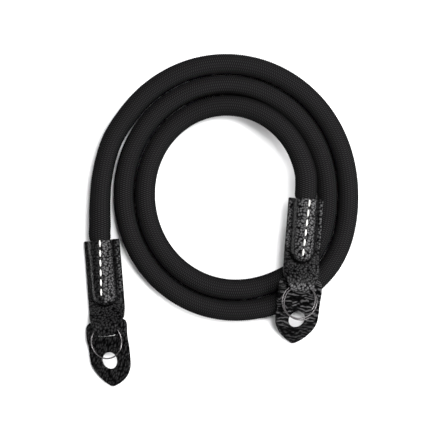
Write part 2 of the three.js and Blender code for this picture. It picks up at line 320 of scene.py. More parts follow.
class Noise:
    """Repeatable surface noise, worked out from whole-number cells."""

    whole_word: ClassVar[int] = 0xFFFFFFFF
    half_word: ClassVar[int] = 0xFFFF
    column_mix: ClassVar[int] = 374761393
    row_mix: ClassVar[int] = 668265263
    seed_mix: ClassVar[int] = 1442695041
    last_mix: ClassVar[int] = 1274126177
    pebble_reach: ClassVar[float] = 0.8
    crease_width: ClassVar[float] = 0.35
    crease_floor: ClassVar[float] = 0.4

    @classmethod
    def chance(cls, column: np.ndarray, row: np.ndarray, seed: int) -> np.ndarray:
        """Give each cell its own fixed number from 0 to 1.

        Args:
            column: Whole-number cell columns.
            row: Whole-number cell rows.
            seed: Which set of numbers to use.

        Returns:
            One number for each cell.
        """
        mixed = column.astype(np.int64) * cls.column_mix + row.astype(np.int64) * cls.row_mix
        mixed = ((mixed & cls.whole_word) + seed * cls.seed_mix) & cls.whole_word
        mixed = ((mixed ^ (mixed >> 13)) * cls.last_mix) & cls.whole_word
        return ((mixed ^ (mixed >> 16)) & cls.half_word) / cls.half_word

    @classmethod
    def waves(cls, x: np.ndarray, y: np.ndarray, seed: int) -> np.ndarray:
        """Give smooth noise from -1 to 1, one hill or dip a cell.

        Args:
            x: Positions across, in cells.
            y: Positions along, in cells.
            seed: Which noise to use.

        Returns:
            The noise at each position.
        """
        column, row = np.floor(x), np.floor(y)
        s, t = smoothstep(x - column, 0, 1), smoothstep(y - row, 0, 1)
        near = cls.chance(column, row, seed) * (1 - s) + cls.chance(column + 1, row, seed) * s
        far = cls.chance(column, row + 1, seed) * (1 - s) + cls.chance(column + 1, row + 1, seed) * s
        return 2 * (near * (1 - t) + far * t) - 1

    @classmethod
    def pebbles(cls, x: np.ndarray, y: np.ndarray, seed: int) -> np.ndarray:
        """Give rounded pebbles from 0 in the creases to 1 on top, one a cell.

        Args:
            x: Positions across, in cells.
            y: Positions along, in cells.
            seed: Which pebbles to use.

        Returns:
            The pebble height at each position.
        """
        column, row = np.floor(x), np.floor(y)
        nearest = np.full(x.shape, np.inf)
        second = np.full(x.shape, np.inf)
        for i in (-1, 0, 1):
            for j in (-1, 0, 1):
                dx = column + i + cls.chance(column + i, row + j, seed) - x
                dy = row + j + cls.chance(column + i, row + j, seed + 1) - y
                away = np.hypot(dx, dy)
                second = np.minimum(second, np.maximum(nearest, away))
                nearest = np.minimum(nearest, away)
        dome = 1 - np.clip(nearest / cls.pebble_reach, 0, 1) ** 2
        raised = smoothstep(second - nearest, 0, cls.crease_width)
        return dome * (cls.crease_floor + (1 - cls.crease_floor) * raised)


class GrainKind(Enum):
    """How a leather's face is marked."""

    PEBBLES = "pebbles"
    RIPPLES = "ripples"


class Draw(IntEnum):
    """Which of a grain's noises is drawn, counted on from its seed."""

    PEBBLES = 0
    DRIFT = 5
    SWELL = 9
    BEND = 13
    KINK = 15
    BREAK = 17


@dataclass(frozen=True)
class Grain:
    """The raised face of a piece of leather: its kind, its pitch each way, its depth and its slant."""

    kind: GrainKind
    across: float
    along: float
    depth: float
    slant: float = 0.0
    tops: tuple[float, float] = (0.4, 0.95)
    middle: float = 0.55
    swell: float = 0.3
    swell_pitch: float = 4.2
    drift: float = 0.35
    drift_pitch: float = 2.1
    bend: float = 0.75
    bend_pitch: float = 3.1
    kink: float = 0.3
    kink_pitch: tuple[float, float] = (1.4, 1.6)
    break_pitch: tuple[float, float] = (2.0, 1.1)
    broken: tuple[float, float] = (-0.75, 0.2)
    break_floor: float = 0.2
    sharpness: float = 1.9
    seed: int = 3

    def noise(self, draw: Draw, across: np.ndarray, along: np.ndarray) -> np.ndarray:
        """Draw one of the grain's own smooth noises, at positions in cells."""
        return Noise.waves(across, along, self.seed + draw)

    def crowns(self, across: np.ndarray, along: np.ndarray) -> np.ndarray:
        """Work out the grain's pattern, from 0 in its creases to 1 on its tops.

        Args:
            across: Positions across the leather.
            along: Positions along the leather.

        Returns:
            The pattern at each position.
        """
        leaning = across + self.slant * along
        if self.kind is GrainKind.PEBBLES:
            drift = self.noise(Draw.DRIFT, across / self.drift_pitch, along / self.drift_pitch)
            x = leaning / self.across + self.drift * drift
            y = along / self.along + self.drift * drift
            return Noise.pebbles(x, y, self.seed + Draw.PEBBLES)
        bend = self.bend * self.noise(Draw.BEND, across / self.across, along / self.bend_pitch)
        wide, long = self.kink_pitch
        bend = bend + self.kink * self.noise(Draw.KINK, across / wide, along / long)
        ridge = 0.5 + 0.5 * np.sin(2 * math.pi * (along / self.along + self.slant * across + bend))
        wide, long = self.break_pitch
        whole = smoothstep(self.noise(Draw.BREAK, across / wide, along / long), *self.broken)
        return ridge**self.sharpness * (self.break_floor + (1 - self.break_floor) * whole)

    def painted_light(self, across: np.ndarray, along: np.ndarray) -> np.ndarray:
        """Work out the face's painted light, from painted shade at 0 in its creases to painted highlight
        at 1 on its highest tops.
        """
        return smoothstep(self.crowns(across, along), *self.tops)

    def height(self, across: np.ndarray, along: np.ndarray) -> np.ndarray:
        """Work out how far the face stands proud of a plain surface, in millimetres."""
        swell = self.noise(Draw.SWELL, across / self.swell_pitch, along / self.swell_pitch)
        return self.depth * (self.crowns(across, along) - self.middle + self.swell * swell)


@dataclass(frozen=True)
class StrapEnd:
    """One end of the strap: where its mouth is, its features' places, and how it lies.

    Attributes:
        side: Which end it is.
        x: The mouth's place in the frame.
        y: The mouth's place in the frame.
        heading: The way that the end points, in degrees from +X.
        end: Where the tunnel ends, along the end.
        fold: Where the strip folds round the ring.
        draw: How much of its roll draws the flat strip back sideways.
        skew: How far the tunnel's crown leans across.
        nose: How much sooner the tunnel ends at its sides than at its crown.
        painted_light: How much painted highlight each half of the tunnel gets; a low value leaves that
            half in painted shade.
        hollow: How far outward the painted shade in the hollow beside each half is moved.
        fold_painted_light: How much painted highlight the fold gets.
        pad_top: Where the pad's upper edge is.
        pad_tip: How far across the pad's tip sways.
        hole: Where the middle of the pad's hole is.
        ring: How the split ring sits.
        stitches: Where the stitches run.
        welt: The raised line beside the tunnel, along and across, where there is one.
        pad_grain: The pad's grain.
        pad_painted_light: The painted light on the pad's body and on its tip.
        lie: How high the end lies and how far it rolls, from its mouth on.
    """

    side: Side
    x: float
    y: float
    heading: float
    end: float
    fold: float
    draw: float
    skew: float
    nose: float
    painted_light: tuple[float, float]
    hollow: tuple[float, float]
    fold_painted_light: float
    pad_top: float
    pad_tip: float
    hole: float
    ring: RingSeat
    stitches: StitchLine
    welt: tuple[tuple[float, float], ...]
    pad_grain: Grain
    pad_painted_light: tuple[float, float]
    lie: tuple[LieRow, ...]

    def read(self, column: str, along: np.ndarray) -> np.ndarray:
        """Read one column of how the end lies.

        Args:
            column: The column's name.
            along: Distances from the mouth.

        Returns:
            The column's values there.
        """
        stations = np.array([row.along for row in self.lie])
        values = np.array([getattr(row, column) for row in self.lie])
        return through(np.ravel(along), stations, values).reshape(np.shape(along))

    def axes(self, along: np.ndarray) -> tuple[np.ndarray, np.ndarray, np.ndarray, np.ndarray]:
        """Give the end's own frame at distances from its mouth.

        Args:
            along: Distances from the mouth.

        Returns:
            The origin on the underside, the way across, the way forward and the normal.
        """
        along = np.asarray(along, float)
        turn = math.radians(self.heading)
        ahead = np.array((math.cos(turn), math.sin(turn), 0.0))
        level = np.array((-ahead[1], ahead[0], 0.0))
        reach = 0.2
        rise = self.read("height", along + reach) - self.read("height", along - reach)
        forward = unit(ahead + (rise / (2 * reach))[..., None] * UP)
        roll = np.radians(self.read("roll", along))[..., None]
        side = level * np.cos(roll) + np.cross(forward, level) * np.sin(roll)
        origin = np.array((self.x, self.y, 0.0)) + along[..., None] * ahead
        origin = origin + self.read("height", along)[..., None] * UP
        return origin, side, forward, np.cross(forward, side)

    def place(self, across: np.ndarray, along: np.ndarray, up: np.ndarray) -> np.ndarray:
        """Turn places on the end into points of the frame, in millimetres.

        Args:
            across: Places across the end.
            along: Places along it from the mouth.
            up: Heights off its underside.

        Returns:
            The points, coordinates last.
        """
        across, along, up = np.broadcast_arrays(across, along, up)
        origin, side, _, normal = self.axes(along)
        return origin + across[..., None] * side + up[..., None] * normal

    def station(self, row: StripRow) -> float:
        """Give the distance from the mouth at which a strip's section lies."""
        starts = {Anchor.MOUTH: 0.0, Anchor.END: self.end, Anchor.FOLD: self.fold}
        return starts[row.past] + row.by


LEFT_END = StrapEnd(
    side=Side.LEFT,
    x=-58.85,
    y=-9.4,
    heading=-85.2,
    end=31,
    fold=47.2,
    draw=0.8,
    skew=-0.9,
    nose=4.0,
    # Painted shade on the tunnel's left half, painted highlight on its right half.
    painted_light=(0.14, 0.94),
    hollow=(0.0, 0.7),
    fold_painted_light=0.25,
    pad_top=40.2,
    pad_tip=0.3,
    hole=59,
    ring=RingSeat(along=49.8, across=0.4, up=3.65, tilt=3, lean=2, slip=(0.5, 0.3)),
    stitches=StitchLine(along=(1.5, 25.2), across=(0.0, -1.3)),
    welt=(
        (-0.5, -5.5),
        (4.4, -5.7),
        (14.2, -6.4),
        (21.5, -6.8),
        (26.5, -6.4),
        (30.1, -5.1),
        (32.2, -3.8),
    ),
    pad_grain=Grain(
        GrainKind.PEBBLES, across=1.1, along=2.3, depth=0.44, slant=0.5, tops=(0.55, 1.0), seed=21
    ),
    pad_painted_light=(0.5, 0.55),
    lie=(
        LieRow(0, 0, 0),
        LieRow(32, 0, 0),
        LieRow(40, 2.2, 13),
        LieRow(46, 3.7, 20),
        LieRow(53, 4.3, 22),
        LieRow(60, 4.1, 22),
        LieRow(64, 3.5, 22),
        LieRow(72, 1, 20),
    ),
)
RIGHT_END = StrapEnd(
    side=Side.RIGHT,
    x=41.45,
    y=11,
    heading=-94.2,
    end=30,
    fold=44.8,
    draw=0.3,
    skew=1.0,
    nose=5.6,
    # Painted highlight on both halves of the tunnel, the left one more.
    painted_light=(1.4, 1.0),
    hollow=(-1.1, 1.0),
    fold_painted_light=1.35,
    pad_top=39.4,
    pad_tip=-0.8,
    hole=58.8,
    ring=RingSeat(along=49.2, across=-0.1, up=4, tilt=-6, lean=2.5, slip=(-2.0, 1.8)),
    stitches=StitchLine(along=(2.2, 26.0), across=(2.1, 0.9)),
    welt=(),
    pad_grain=Grain(
        GrainKind.RIPPLES, across=3.4, along=1.7, depth=0.5, slant=-0.06, tops=(0.35, 0.85), seed=34
    ),
    pad_painted_light=(1.6, 0.42),
    lie=(
        LieRow(0, 10.1, 4),
        LieRow(31, 10.1, 4),
        LieRow(40, 10.6, -5),
        LieRow(45, 10.3, -9.5),
        LieRow(50, 9.3, -10.5),
        LieRow(55, 7.5, -12),
        LieRow(60, 5.2, -12),
        LieRow(65, 2.9, -11),
        LieRow(71, 0.8, -9),
    ),
)
ENDS = (LEFT_END, RIGHT_END)


class NodeTree:
    """A node tree that is built by short calls."""

    tree: bpy.types.NodeTree

    def feed(self, value: Any, socket: bpy.types.NodeSocket) -> None:
        """Link a socket to an input, or set a plain value on the input.

        Args:
            value: The socket or the plain value.
            socket: The input that takes it.
        """
        if isinstance(value, bpy.types.NodeSocket):
            self.tree.links.new(value, socket)
        else:
            socket.default_value = value

    def add(self, kind: str, feeds: dict[Any, Any] | None = None, **settings: Any) -> bpy.types.Node:
        """Add a node and feed its inputs.

        Args:
            kind: The node's type.
            feeds: Sockets or plain values, by the input's name or number.
            **settings: The node's own properties.

        Returns:
            The new node.
        """
        node = self.tree.nodes.new(kind)
        for name, value in settings.items():
            setattr(node, name, value)
        for name, value in (feeds or {}).items():
            self.feed(value, node.inputs[name])
        return node

    def math(self, operation: str, *values: Any) -> bpy.types.NodeSocket:
        """Add a sum on sockets or plain numbers, and give the socket that holds its result."""
        return self.add("ShaderNodeMath", dict(enumerate(values)), operation=operation).outputs[0]


class Shader(NodeTree):
    """A material's node tree."""

    def __init__(self, name: str) -> None:
        """Start a material with a plain principled surface.

        Args:
            name: The material's name.
        """
        self.material = bpy.data.materials.new(name)
        self.material.use_nodes = True
        self.tree = self.material.node_tree
        self.tree.nodes.clear()
        self.surface = self.add("ShaderNodeBsdfPrincipled")
        self.add("ShaderNodeOutputMaterial", {"Surface": self.surface.outputs["BSDF"]})

    def set(self, **values: Any) -> None:
        """Set the surface's own sockets, named with underscores for spaces."""
        for name, value in values.items():
            self.surface.inputs[name.replace("_", " ")].default_value = value

    def noise(self, where: bpy.types.NodeSocket, scale: float, detail: float) -> bpy.types.NodeSocket:
        """Add smooth noise from 0 to 1, its scale in hills to each unit of the coordinates."""
        feeds = {"Vector": where, "Scale": scale, "Detail": detail}
        return self.add("ShaderNodeTexNoise", feeds).outputs["Fac"]

    def spread(self, value: bpy.types.NodeSocket, low: float, high: float) -> bpy.types.NodeSocket:
        """Stretch a number from 0 to 1 over another range."""
        feeds = {"Value": value, "To Min": low, "To Max": high}
        return self.add("ShaderNodeMapRange", feeds).outputs["Result"]

    def tint(self, value: bpy.types.NodeSocket, dark: tuple[float, ...], light: tuple[float, ...]) -> None:
        """Shade the surface's colour between two tones.

        Args:
            value: A number from 0 to 1.
            dark: The colour at 0.
            light: The colour at 1.
        """
        ramp = self.add("ShaderNodeValToRGB", {"Fac": value})
        ramp.color_ramp.elements[0].color = (*dark, 1)
        ramp.color_ramp.elements[1].color = (*light, 1)
        self.feed(ramp.outputs["Color"], self.surface.inputs["Base Color"])

    def bump(self, height: bpy.types.NodeSocket, strength: float, depth: float) -> None:
        """Raise the surface by a height.

        Args:
            height: The height's socket, from 0 to 1.
            strength: How much of the bump shows.
            depth: The height of 1, in millimetres.
        """
        feeds = {"Height": height, "Strength": strength, "Distance": depth * MM}
        node = self.add("ShaderNodeBump", feeds)
        self.feed(node.outputs["Normal"], self.surface.inputs["Normal"])

    def own_map(self) -> bpy.types.NodeSocket:
        """Give the piece's own map."""
        return self.add("ShaderNodeUVMap", uv_map="UVMap").outputs["UV"]

    def place(self) -> bpy.types.NodeSocket:
        """Give places on the object, in metres."""
        return self.add("ShaderNodeTexCoord").outputs["Object"]

    def painted_light(self) -> bpy.types.NodeSocket:
        """Give the piece's painted light: painted highlight and painted shade for its colour."""
        return self.add("ShaderNodeAttribute", attribute_name="painted_light").outputs["Fac"]


@dataclass(frozen=True)
class BraidFinish:
    """Matt charcoal braid: each tick of the braid is a flat bundle of fine filaments, coloured with
    painted shade between the ticks and down the rope's flanks.
    """

    dark: tuple[float, float, float] = (0.0008, 0.0008, 0.0009)
    light: tuple[float, float, float] = (0.0208, 0.0204, 0.021)
    # Painted shade: how dark the rope's flanks are painted, up to its pale top.
    painted_light: tuple[float, float] = (0.14, 1.0)
    roughness: float = 0.85
    gloss: float = 0.03
    slant: float = 0.3
    rim_power: float = 4.0
    tick_ends: tuple[float, float] = (0.37, 0.08)
    filaments: float = 5.0
    filament_height: float = 0.3
    fuzz_scale: float = 2.3
    fuzz_floor: float = 0.5
    bump: tuple[float, float] = (0.6, 0.1)

    def material(self) -> bpy.types.Material:
        """Make the braid's material, mapped in braid columns and ticks.

        Returns:
            The material.
        """
        shader = Shader("charcoal_braid")
        shader.set(Roughness=self.roughness, Specular_IOR_Level=self.gloss)
        where = shader.own_map()
        split = shader.add("ShaderNodeSeparateXYZ", {"Vector": where})
        column, tick = split.outputs["X"], split.outputs["Y"]
        odd = shader.math("MODULO", shader.math("FLOOR", column), 2.0)
        off_middle = shader.math("SUBTRACT", shader.math("FRACT", column), 0.5)
        way = shader.math("SUBTRACT", shader.math("MULTIPLY", odd, 2 * self.slant), self.slant)
        slid = shader.math("ADD", tick, shader.math("MULTIPLY", odd, 0.5))
        slid = shader.math("ADD", slid, shader.math("MULTIPLY", way, off_middle))
        across = shader.math("MULTIPLY", shader.math("ABSOLUTE", off_middle), 2.0)
        along = shader.math("ABSOLUTE", shader.math("SUBTRACT", shader.math("FRACT", slid), 0.5))
        rim = shader.math("SUBTRACT", 1.0, shader.math("POWER", across, self.rim_power))
        low, high = self.tick_ends
        bundle = shader.add(
            "ShaderNodeMapRange",
            {"Value": along, "From Min": low, "From Max": high},
            interpolation_type="SMOOTHSTEP",
        )
        # The tick's crown raises the bump and also pales the colour, so the gaps between the ticks hold
        # painted shade.
        crown = shader.math("MULTIPLY", rim, bundle.outputs["Result"])
        strands = shader.math("MULTIPLY", slid, 2 * math.pi * self.filaments)
        ridges = shader.spread(shader.math("SINE", strands), 0.0, self.filament_height)
        fuzz = shader.noise(where, self.fuzz_scale, detail=4)
        height = shader.math("ADD", ridges, shader.math("ADD", fuzz, crown))
        shader.bump(height, *self.bump)
        # Painted shade darkens the braid between its ticks and down the rope's flanks.
        shade = shader.math("MULTIPLY", crown, shader.spread(shader.painted_light(), *self.painted_light))
        shade = shader.math("MULTIPLY", shade, shader.math("ADD", fuzz, self.fuzz_floor))
        shader.tint(shade, self.dark, self.light)
        return shader.material


@dataclass(frozen=True)
class LeatherFinish:
    """Black grained leather with a satin top coat; its colour carries the piece's painted highlights and
    painted shade, varied at random.
    """

    name: str
    gloss: float
    roughness: tuple[float, float]
    light: tuple[float, float, float]
    dark: tuple[float, float, float] = (0.0008, 0.0008, 0.0009)
    cell_scale: float = 2.2
    cell_height: float = -0.8
    pore_scale: float = 3.7
    bump: tuple[float, float] = (0.18, 0.09)
    wear_scale: float = 0.35
    wear_floor: float = 0.4

    def material(self) -> bpy.types.Material:
        """Make the leather's material, mapped in millimetres of its own flat sheet.

        Returns:
            The material.
        """
        shader = Shader(self.name)
        shader.set(Specular_IOR_Level=self.gloss)
        where = shader.own_map()
        feeds = {"Vector": where, "Scale": self.cell_scale}
        cells = shader.add("ShaderNodeTexVoronoi", feeds, feature="SMOOTH_F1")
        sunk = shader.math("MULTIPLY", cells.outputs["Distance"], self.cell_height)
        pores = shader.noise(where, self.pore_scale, detail=3)
        shader.bump(shader.math("ADD", sunk, pores), *self.bump)
        wear_and_painted_light = shader.noise(where, self.wear_scale, detail=3)
        shader.feed(shader.spread(wear_and_painted_light, *self.roughness), shader.surface.inputs["Roughness"])
        # Painted light: the piece's painted highlight and shade, varied at random by the wear noise.
        shade = shader.math("MULTIPLY", shader.painted_light(), shader.math("ADD", wear_and_painted_light, self.wear_floor))
        shader.tint(shade, self.dark, self.light)
        return shader.material


MOULDED_LEATHER = LeatherFinish(
    "black_moulded_leather", gloss=0.07, roughness=(0.18, 0.28), light=(0.086, 0.085, 0.087)
)
CRINKLED_LEATHER = LeatherFinish(
    "black_crinkled_leather", gloss=0.05, roughness=(0.2, 0.34), light=(0.05, 0.0493, 0.0507)
)


@dataclass(frozen=True)
class SteelFinish:
    """Dark plated spring steel, polished, with fine marks along the wire."""

    colour: tuple[float, float, float] = (0.145, 0.137, 0.14)
    dark_share: float = 0.7
    cloud_scale: float = 260.0
    mark_scale: float = 1800.0
    roughness: tuple[float, float] = (0.28, 0.4)
    bump: tuple[float, float] = (0.05, 0.01)

    def material(self) -> bpy.types.Material:
        """Make the ring's material.

        Returns:
            The material.
        """
        shader = Shader("dark_plated_steel")
        shader.set(Metallic=1.0)
        where = shader.place()
        marks = shader.noise(where, self.mark_scale, detail=3)
        shader.feed(shader.spread(marks, *self.roughness), shader.surface.inputs["Roughness"])
        dark = tuple(self.dark_share * tone for tone in self.colour)
        shader.tint(shader.noise(where, self.cloud_scale, detail=2), dark, self.colour)
        shader.bump(marks, *self.bump)
        return shader.material


@dataclass(frozen=True)
class ThreadFinish:
    """White waxed thread."""

    dark: tuple[float, float, float] = (0.62, 0.6, 0.57)
    light: tuple[float, float, float] = (0.93, 0.92, 0.9)
    roughness: float = 0.5
    gloss: float = 0.4
    fibre_scale: float = 5200.0
    bump: tuple[float, float] = (0.3, 0.04)

    def material(self) -> bpy.types.Material:
        """Make the thread's material.

        Returns:
            The material.
        """
        shader = Shader("white_waxed_thread")
        shader.set(Roughness=self.roughness, Specular_IOR_Level=self.gloss)
        fibres = shader.noise(shader.place(), self.fibre_scale, detail=3)
        shader.tint(fibres, self.dark, self.light)
        shader.bump(fibres, *self.bump)
        return shader.material


@dataclass(frozen=True)
class PaperFinish:
    """The pale paper that the strap lies on."""

    dark: tuple[float, float, float] = (0.86, 0.86, 0.865)
    light: tuple[float, float, float] = (0.9, 0.9, 0.905)
    roughness: float = 0.9
    gloss: float = 0.1
    cloud_scale: float = 40.0

    def material(self) -> bpy.types.Material:
        """Make the paper's material.

        Returns:
            The material.
        """
        shader = Shader("pale_paper")
        shader.set(Roughness=self.roughness, Specular_IOR_Level=self.gloss)
        shader.tint(shader.noise(shader.place(), self.cloud_scale, detail=3), self.dark, self.light)
        return shader.material


class Surface(NamedTuple):
    """A mesh in the making: points in millimetres, faces, a map for each corner, and its painted light."""

    points: np.ndarray
    faces: list[tuple[int, ...]]
    chart: np.ndarray
    painted_light: np.ndarray


def make_piece(name: str, surface: Surface, material: bpy.types.Material) -> bpy.types.Object:
    """Turn a surface into a smooth mesh object with its own map and its painted light attribute.

    Args:
        name: The piece's name.
        surface: Its points, faces, map and painted light.
        material: Its finish.

    Returns:
        The object, at the origin.
    """
    resting = surface.points * MM
    resting[:, 2] = np.maximum(resting[:, 2], 0.0)
    mesh = bpy.data.meshes.new(name)
    mesh.from_pydata(resting.tolist(), [], surface.faces)
    chart = mesh.uv_layers.new(name="UVMap")
    chart.data.foreach_set("uv", np.ascontiguousarray(surface.chart, np.float32).ravel())
    painted_light = mesh.attributes.new("painted_light", "FLOAT", "POINT")
    painted_light.data.foreach_set("value", np.ascontiguousarray(surface.painted_light, np.float32))
    mesh.shade_smooth()
    mesh.materials.append(material)
    mesh.validate()
    piece = bpy.data.objects.new(name, mesh)
    bpy.context.scene.collection.objects.link(piece)
    return piece


def seat_piece(piece: bpy.types.Object, slot: Slot, *nodes: str) -> None:
    """Fix a finished piece to the body, hide the solids that it replaces, and log its slot.

    Args:
        piece: The finished piece.
        slot: The record's slot, which is only named in the log.
        *nodes: The solids that it replaces.
    """
    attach(piece, BODY)
    if nodes:
        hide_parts(*nodes)
    LOG.info("%s: %d faces, slot %s", piece.name, len(piece.data.polygons), slot.value)


def skin_rings(rings: np.ndarray, chart: np.ndarray, painted_light: np.ndarray) -> Surface:
    """Skin a row of closed rings of points, and close both ends.

    Args:
        rings: The points, rings first, then the points of each ring in order.
        chart: The map of each ring's points, with one more point a ring to close it.
        painted_light: The painted light at each point.

    Returns:
        The closed surface.
    """
    count, sides = rings.shape[:2]
    i, j = np.meshgrid(np.arange(count - 1), np.arange(sides), indexing="ij")
    k = (j + 1) % sides
    corners = np.stack((i * sides + j, i * sides + k, (i + 1) * sides + k, (i + 1) * sides + j), -1)
    faces = [tuple(face) for face in corners.reshape(-1, 4).tolist()]
    spots = np.stack((chart[i, j], chart[i, j + 1], chart[i + 1, j + 1], chart[i + 1, j]), 2)
    maps = [spots.reshape(-1, 2)]
    for ring, order in ((0, range(sides - 1, -1, -1)), (count - 1, range(sides))):
        faces.append(tuple(ring * sides + n for n in order))
        maps.append(chart[ring, list(order)])
    return Surface(rings.reshape(-1, 3), faces, np.vstack(maps), painted_light.reshape(-1))


@dataclass(frozen=True)
class Coil:
    """The flat spiral that the rope lies in, wound clockwise and inward from its left side."""

    x: float = 4.95
    y: float = 14.01
    radius: float = 63.94
    pitch: float = 10.25
    oval: float = 1.56
    oval_turn: float = 98.3
    bulge: float = 2.5
    bulge_at: float = 216
    bulge_spread: float = 18
    start: float = 40
    rise: float = 760
    stop: float = 882
    step: float = 11

    def points(self, finish_height: float) -> np.ndarray:
        """Work out the spiral's points, which climb to the right tab at the end.

        Args:
            finish_height: The height that the rope climbs to.

        Returns:
            The points, in millimetres.
        """
        wound = np.arange(self.start, self.stop + self.step / 2, self.step)
        turn = np.radians(180 - wound)
        oval = self.oval * np.cos(2 * (turn - math.radians(self.oval_turn)))
        bulge = self.bulge * np.exp(-0.5 * ((wound % 360 - self.bulge_at) / self.bulge_spread) ** 2)
        radius = self.radius - self.pitch * wound / 360 + oval + bulge
        climb = smoothstep(wound, self.rise, self.stop + self.step)
        height = ROPE_REST + (finish_height - ROPE_REST) * climb
        return np.stack((self.x + radius * np.cos(turn), self.y + radius * np.sin(turn), height), 1)


@dataclass(frozen=True)
class BraidedRope:
    """The rope: a braided tube that runs from one tunnel, round the coil, into the other tunnel."""

    coil: Coil = Coil()
    columns: int = 22
    tick: float = 0.96
    relief: float = 0.24
    seam: float = 0.35
    fine_step: float = 0.1
    crown_radius: float = 5.13
    neck_radius: float = 4.1
    neck_reach: tuple[float, float] = (-2.4, 0.9)
    pressed: float = 0.06
    press_start: tuple[float, float] = (0.0, 2.0)
    press_fade: tuple[float, float] = (5.0, 30.0)
    # Painted shade: over this range of each point's height round the rope, its colour goes from dark on
    # the flanks to pale on top.
    crest: tuple[float, float] = (0.1, 1.0)
    inside: tuple[float, ...] = (26.0, 17.0, 8.0)
    mouth_steps: tuple[float, ...] = (0.9, 3.5)
    lead: tuple[tuple[float, float, float], ...] = (
        (-59.0, -2.2, 5.5),
        (-59.1, 4.8, 5.1),
        (-58.9, 12.4, ROPE_REST),
        (-58.2, 20.2, ROPE_REST),
        (-56.1, 30.6, ROPE_REST),
        (-52.5, 40.8, ROPE_REST),
    )

    def mouth_run(self, end: StrapEnd) -> np.ndarray:
        """Give the straight run of the rope at one end, from inside its tunnel outward."""
        along = np.array(self.inside + tuple(-step for step in self.mouth_steps))
        return end.place(0.0, along, TUNNEL_AXIS)

    def route(self) -> np.ndarray:
        """Work out the rope's centreline, evenly cut into half ticks.

        Returns:
            The centreline's points, in millimetres.
        """
        start, finish = self.mouth_run(LEFT_END), self.mouth_run(RIGHT_END)[::-1]
        coil = self.coil.points(finish[0, 2])
        line = soft_curve(np.vstack((start, np.array(self.lead), coil, finish)))
        return even_steps(even_steps(line, self.fine_step), self.tick / 2)

    def ticks(self, rows: int) -> np.ndarray:
        """Work out the braid's relief: 1 on a tick, part of it on the tick's seam, and 0 between.

        Args:
            rows: How many rings the tube has.

        Returns:
            The relief of each ring's points.
        """
        row, side = np.arange(rows)[:, None], np.arange(2 * self.columns)[None, :]
        over = (row + side // 2) % 2
        middle = side % 2
        return over * middle + self.seam * over * (1 - middle)

    def rings(self, route: np.ndarray, angle: np.ndarray) -> np.ndarray:
        """Set rings of points round the centreline, narrow in the tunnels and pressed flatter near them.

        Args:
            route: The centreline's points.
            angle: The turn of each point round its ring.

        Returns:
            The points, rings first.
        """
        tangent = unit(np.gradient(route, axis=0))
        outward = unit(np.cross(tangent, UP))
        upward = np.cross(outward, tangent)
        reach = np.arange(len(route)) * self.tick / 2
        outside = np.minimum(reach, reach[-1] - reach) - self.inside[0]
        neck = 1 - smoothstep(outside, *self.neck_reach)
        radius = self.crown_radius + (self.neck_radius - self.crown_radius) * neck
        radius = radius[:, None] - self.relief * (1 - self.ticks(len(route)))
        press = self.pressed * (1 - smoothstep(outside, *self.press_fade))
        press = press * smoothstep(outside, *self.press_start)
        wide, tall = (1 + press)[:, None, None], (1 - press)[:, None, None]
        spoke = wide * np.cos(angle)[..., None] * outward[:, None]
        spoke = spoke + tall * np.sin(angle)[..., None] * upward[:, None]
        return route[:, None] + radius[..., None] * spoke

    def build(self, material: bpy.types.Material) -> bpy.types.Object:
        """Args:
            material: The braid's finish.

        Returns:
            The rope.
        """
        route = self.route()
        rows, sides = len(route), 2 * self.columns
        angle = 2 * math.pi * np.arange(sides)[None, :] / sides
        across = np.broadcast_to(np.arange(sides + 1) / 2, (rows, sides + 1))
        along = np.broadcast_to(np.arange(rows)[:, None] / 2, (rows, sides + 1))
        # Painted shade: the top of the rope is painted paler and its flanks darker, as light from above
        # falls.
        painted_light = np.broadcast_to(smoothstep(np.sin(angle), *self.crest), (rows, sides))
        surface = skin_rings(self.rings(route, angle), np.stack((across, along), -1), painted_light)
        rope = make_piece("braided_rope", surface, material)
        seat_piece(rope, Slot.ROPE, "rope")
        (LEFT_END.place(0.0, 0.0, TUNNEL_AXIS) * MM).tolist()
        return rope


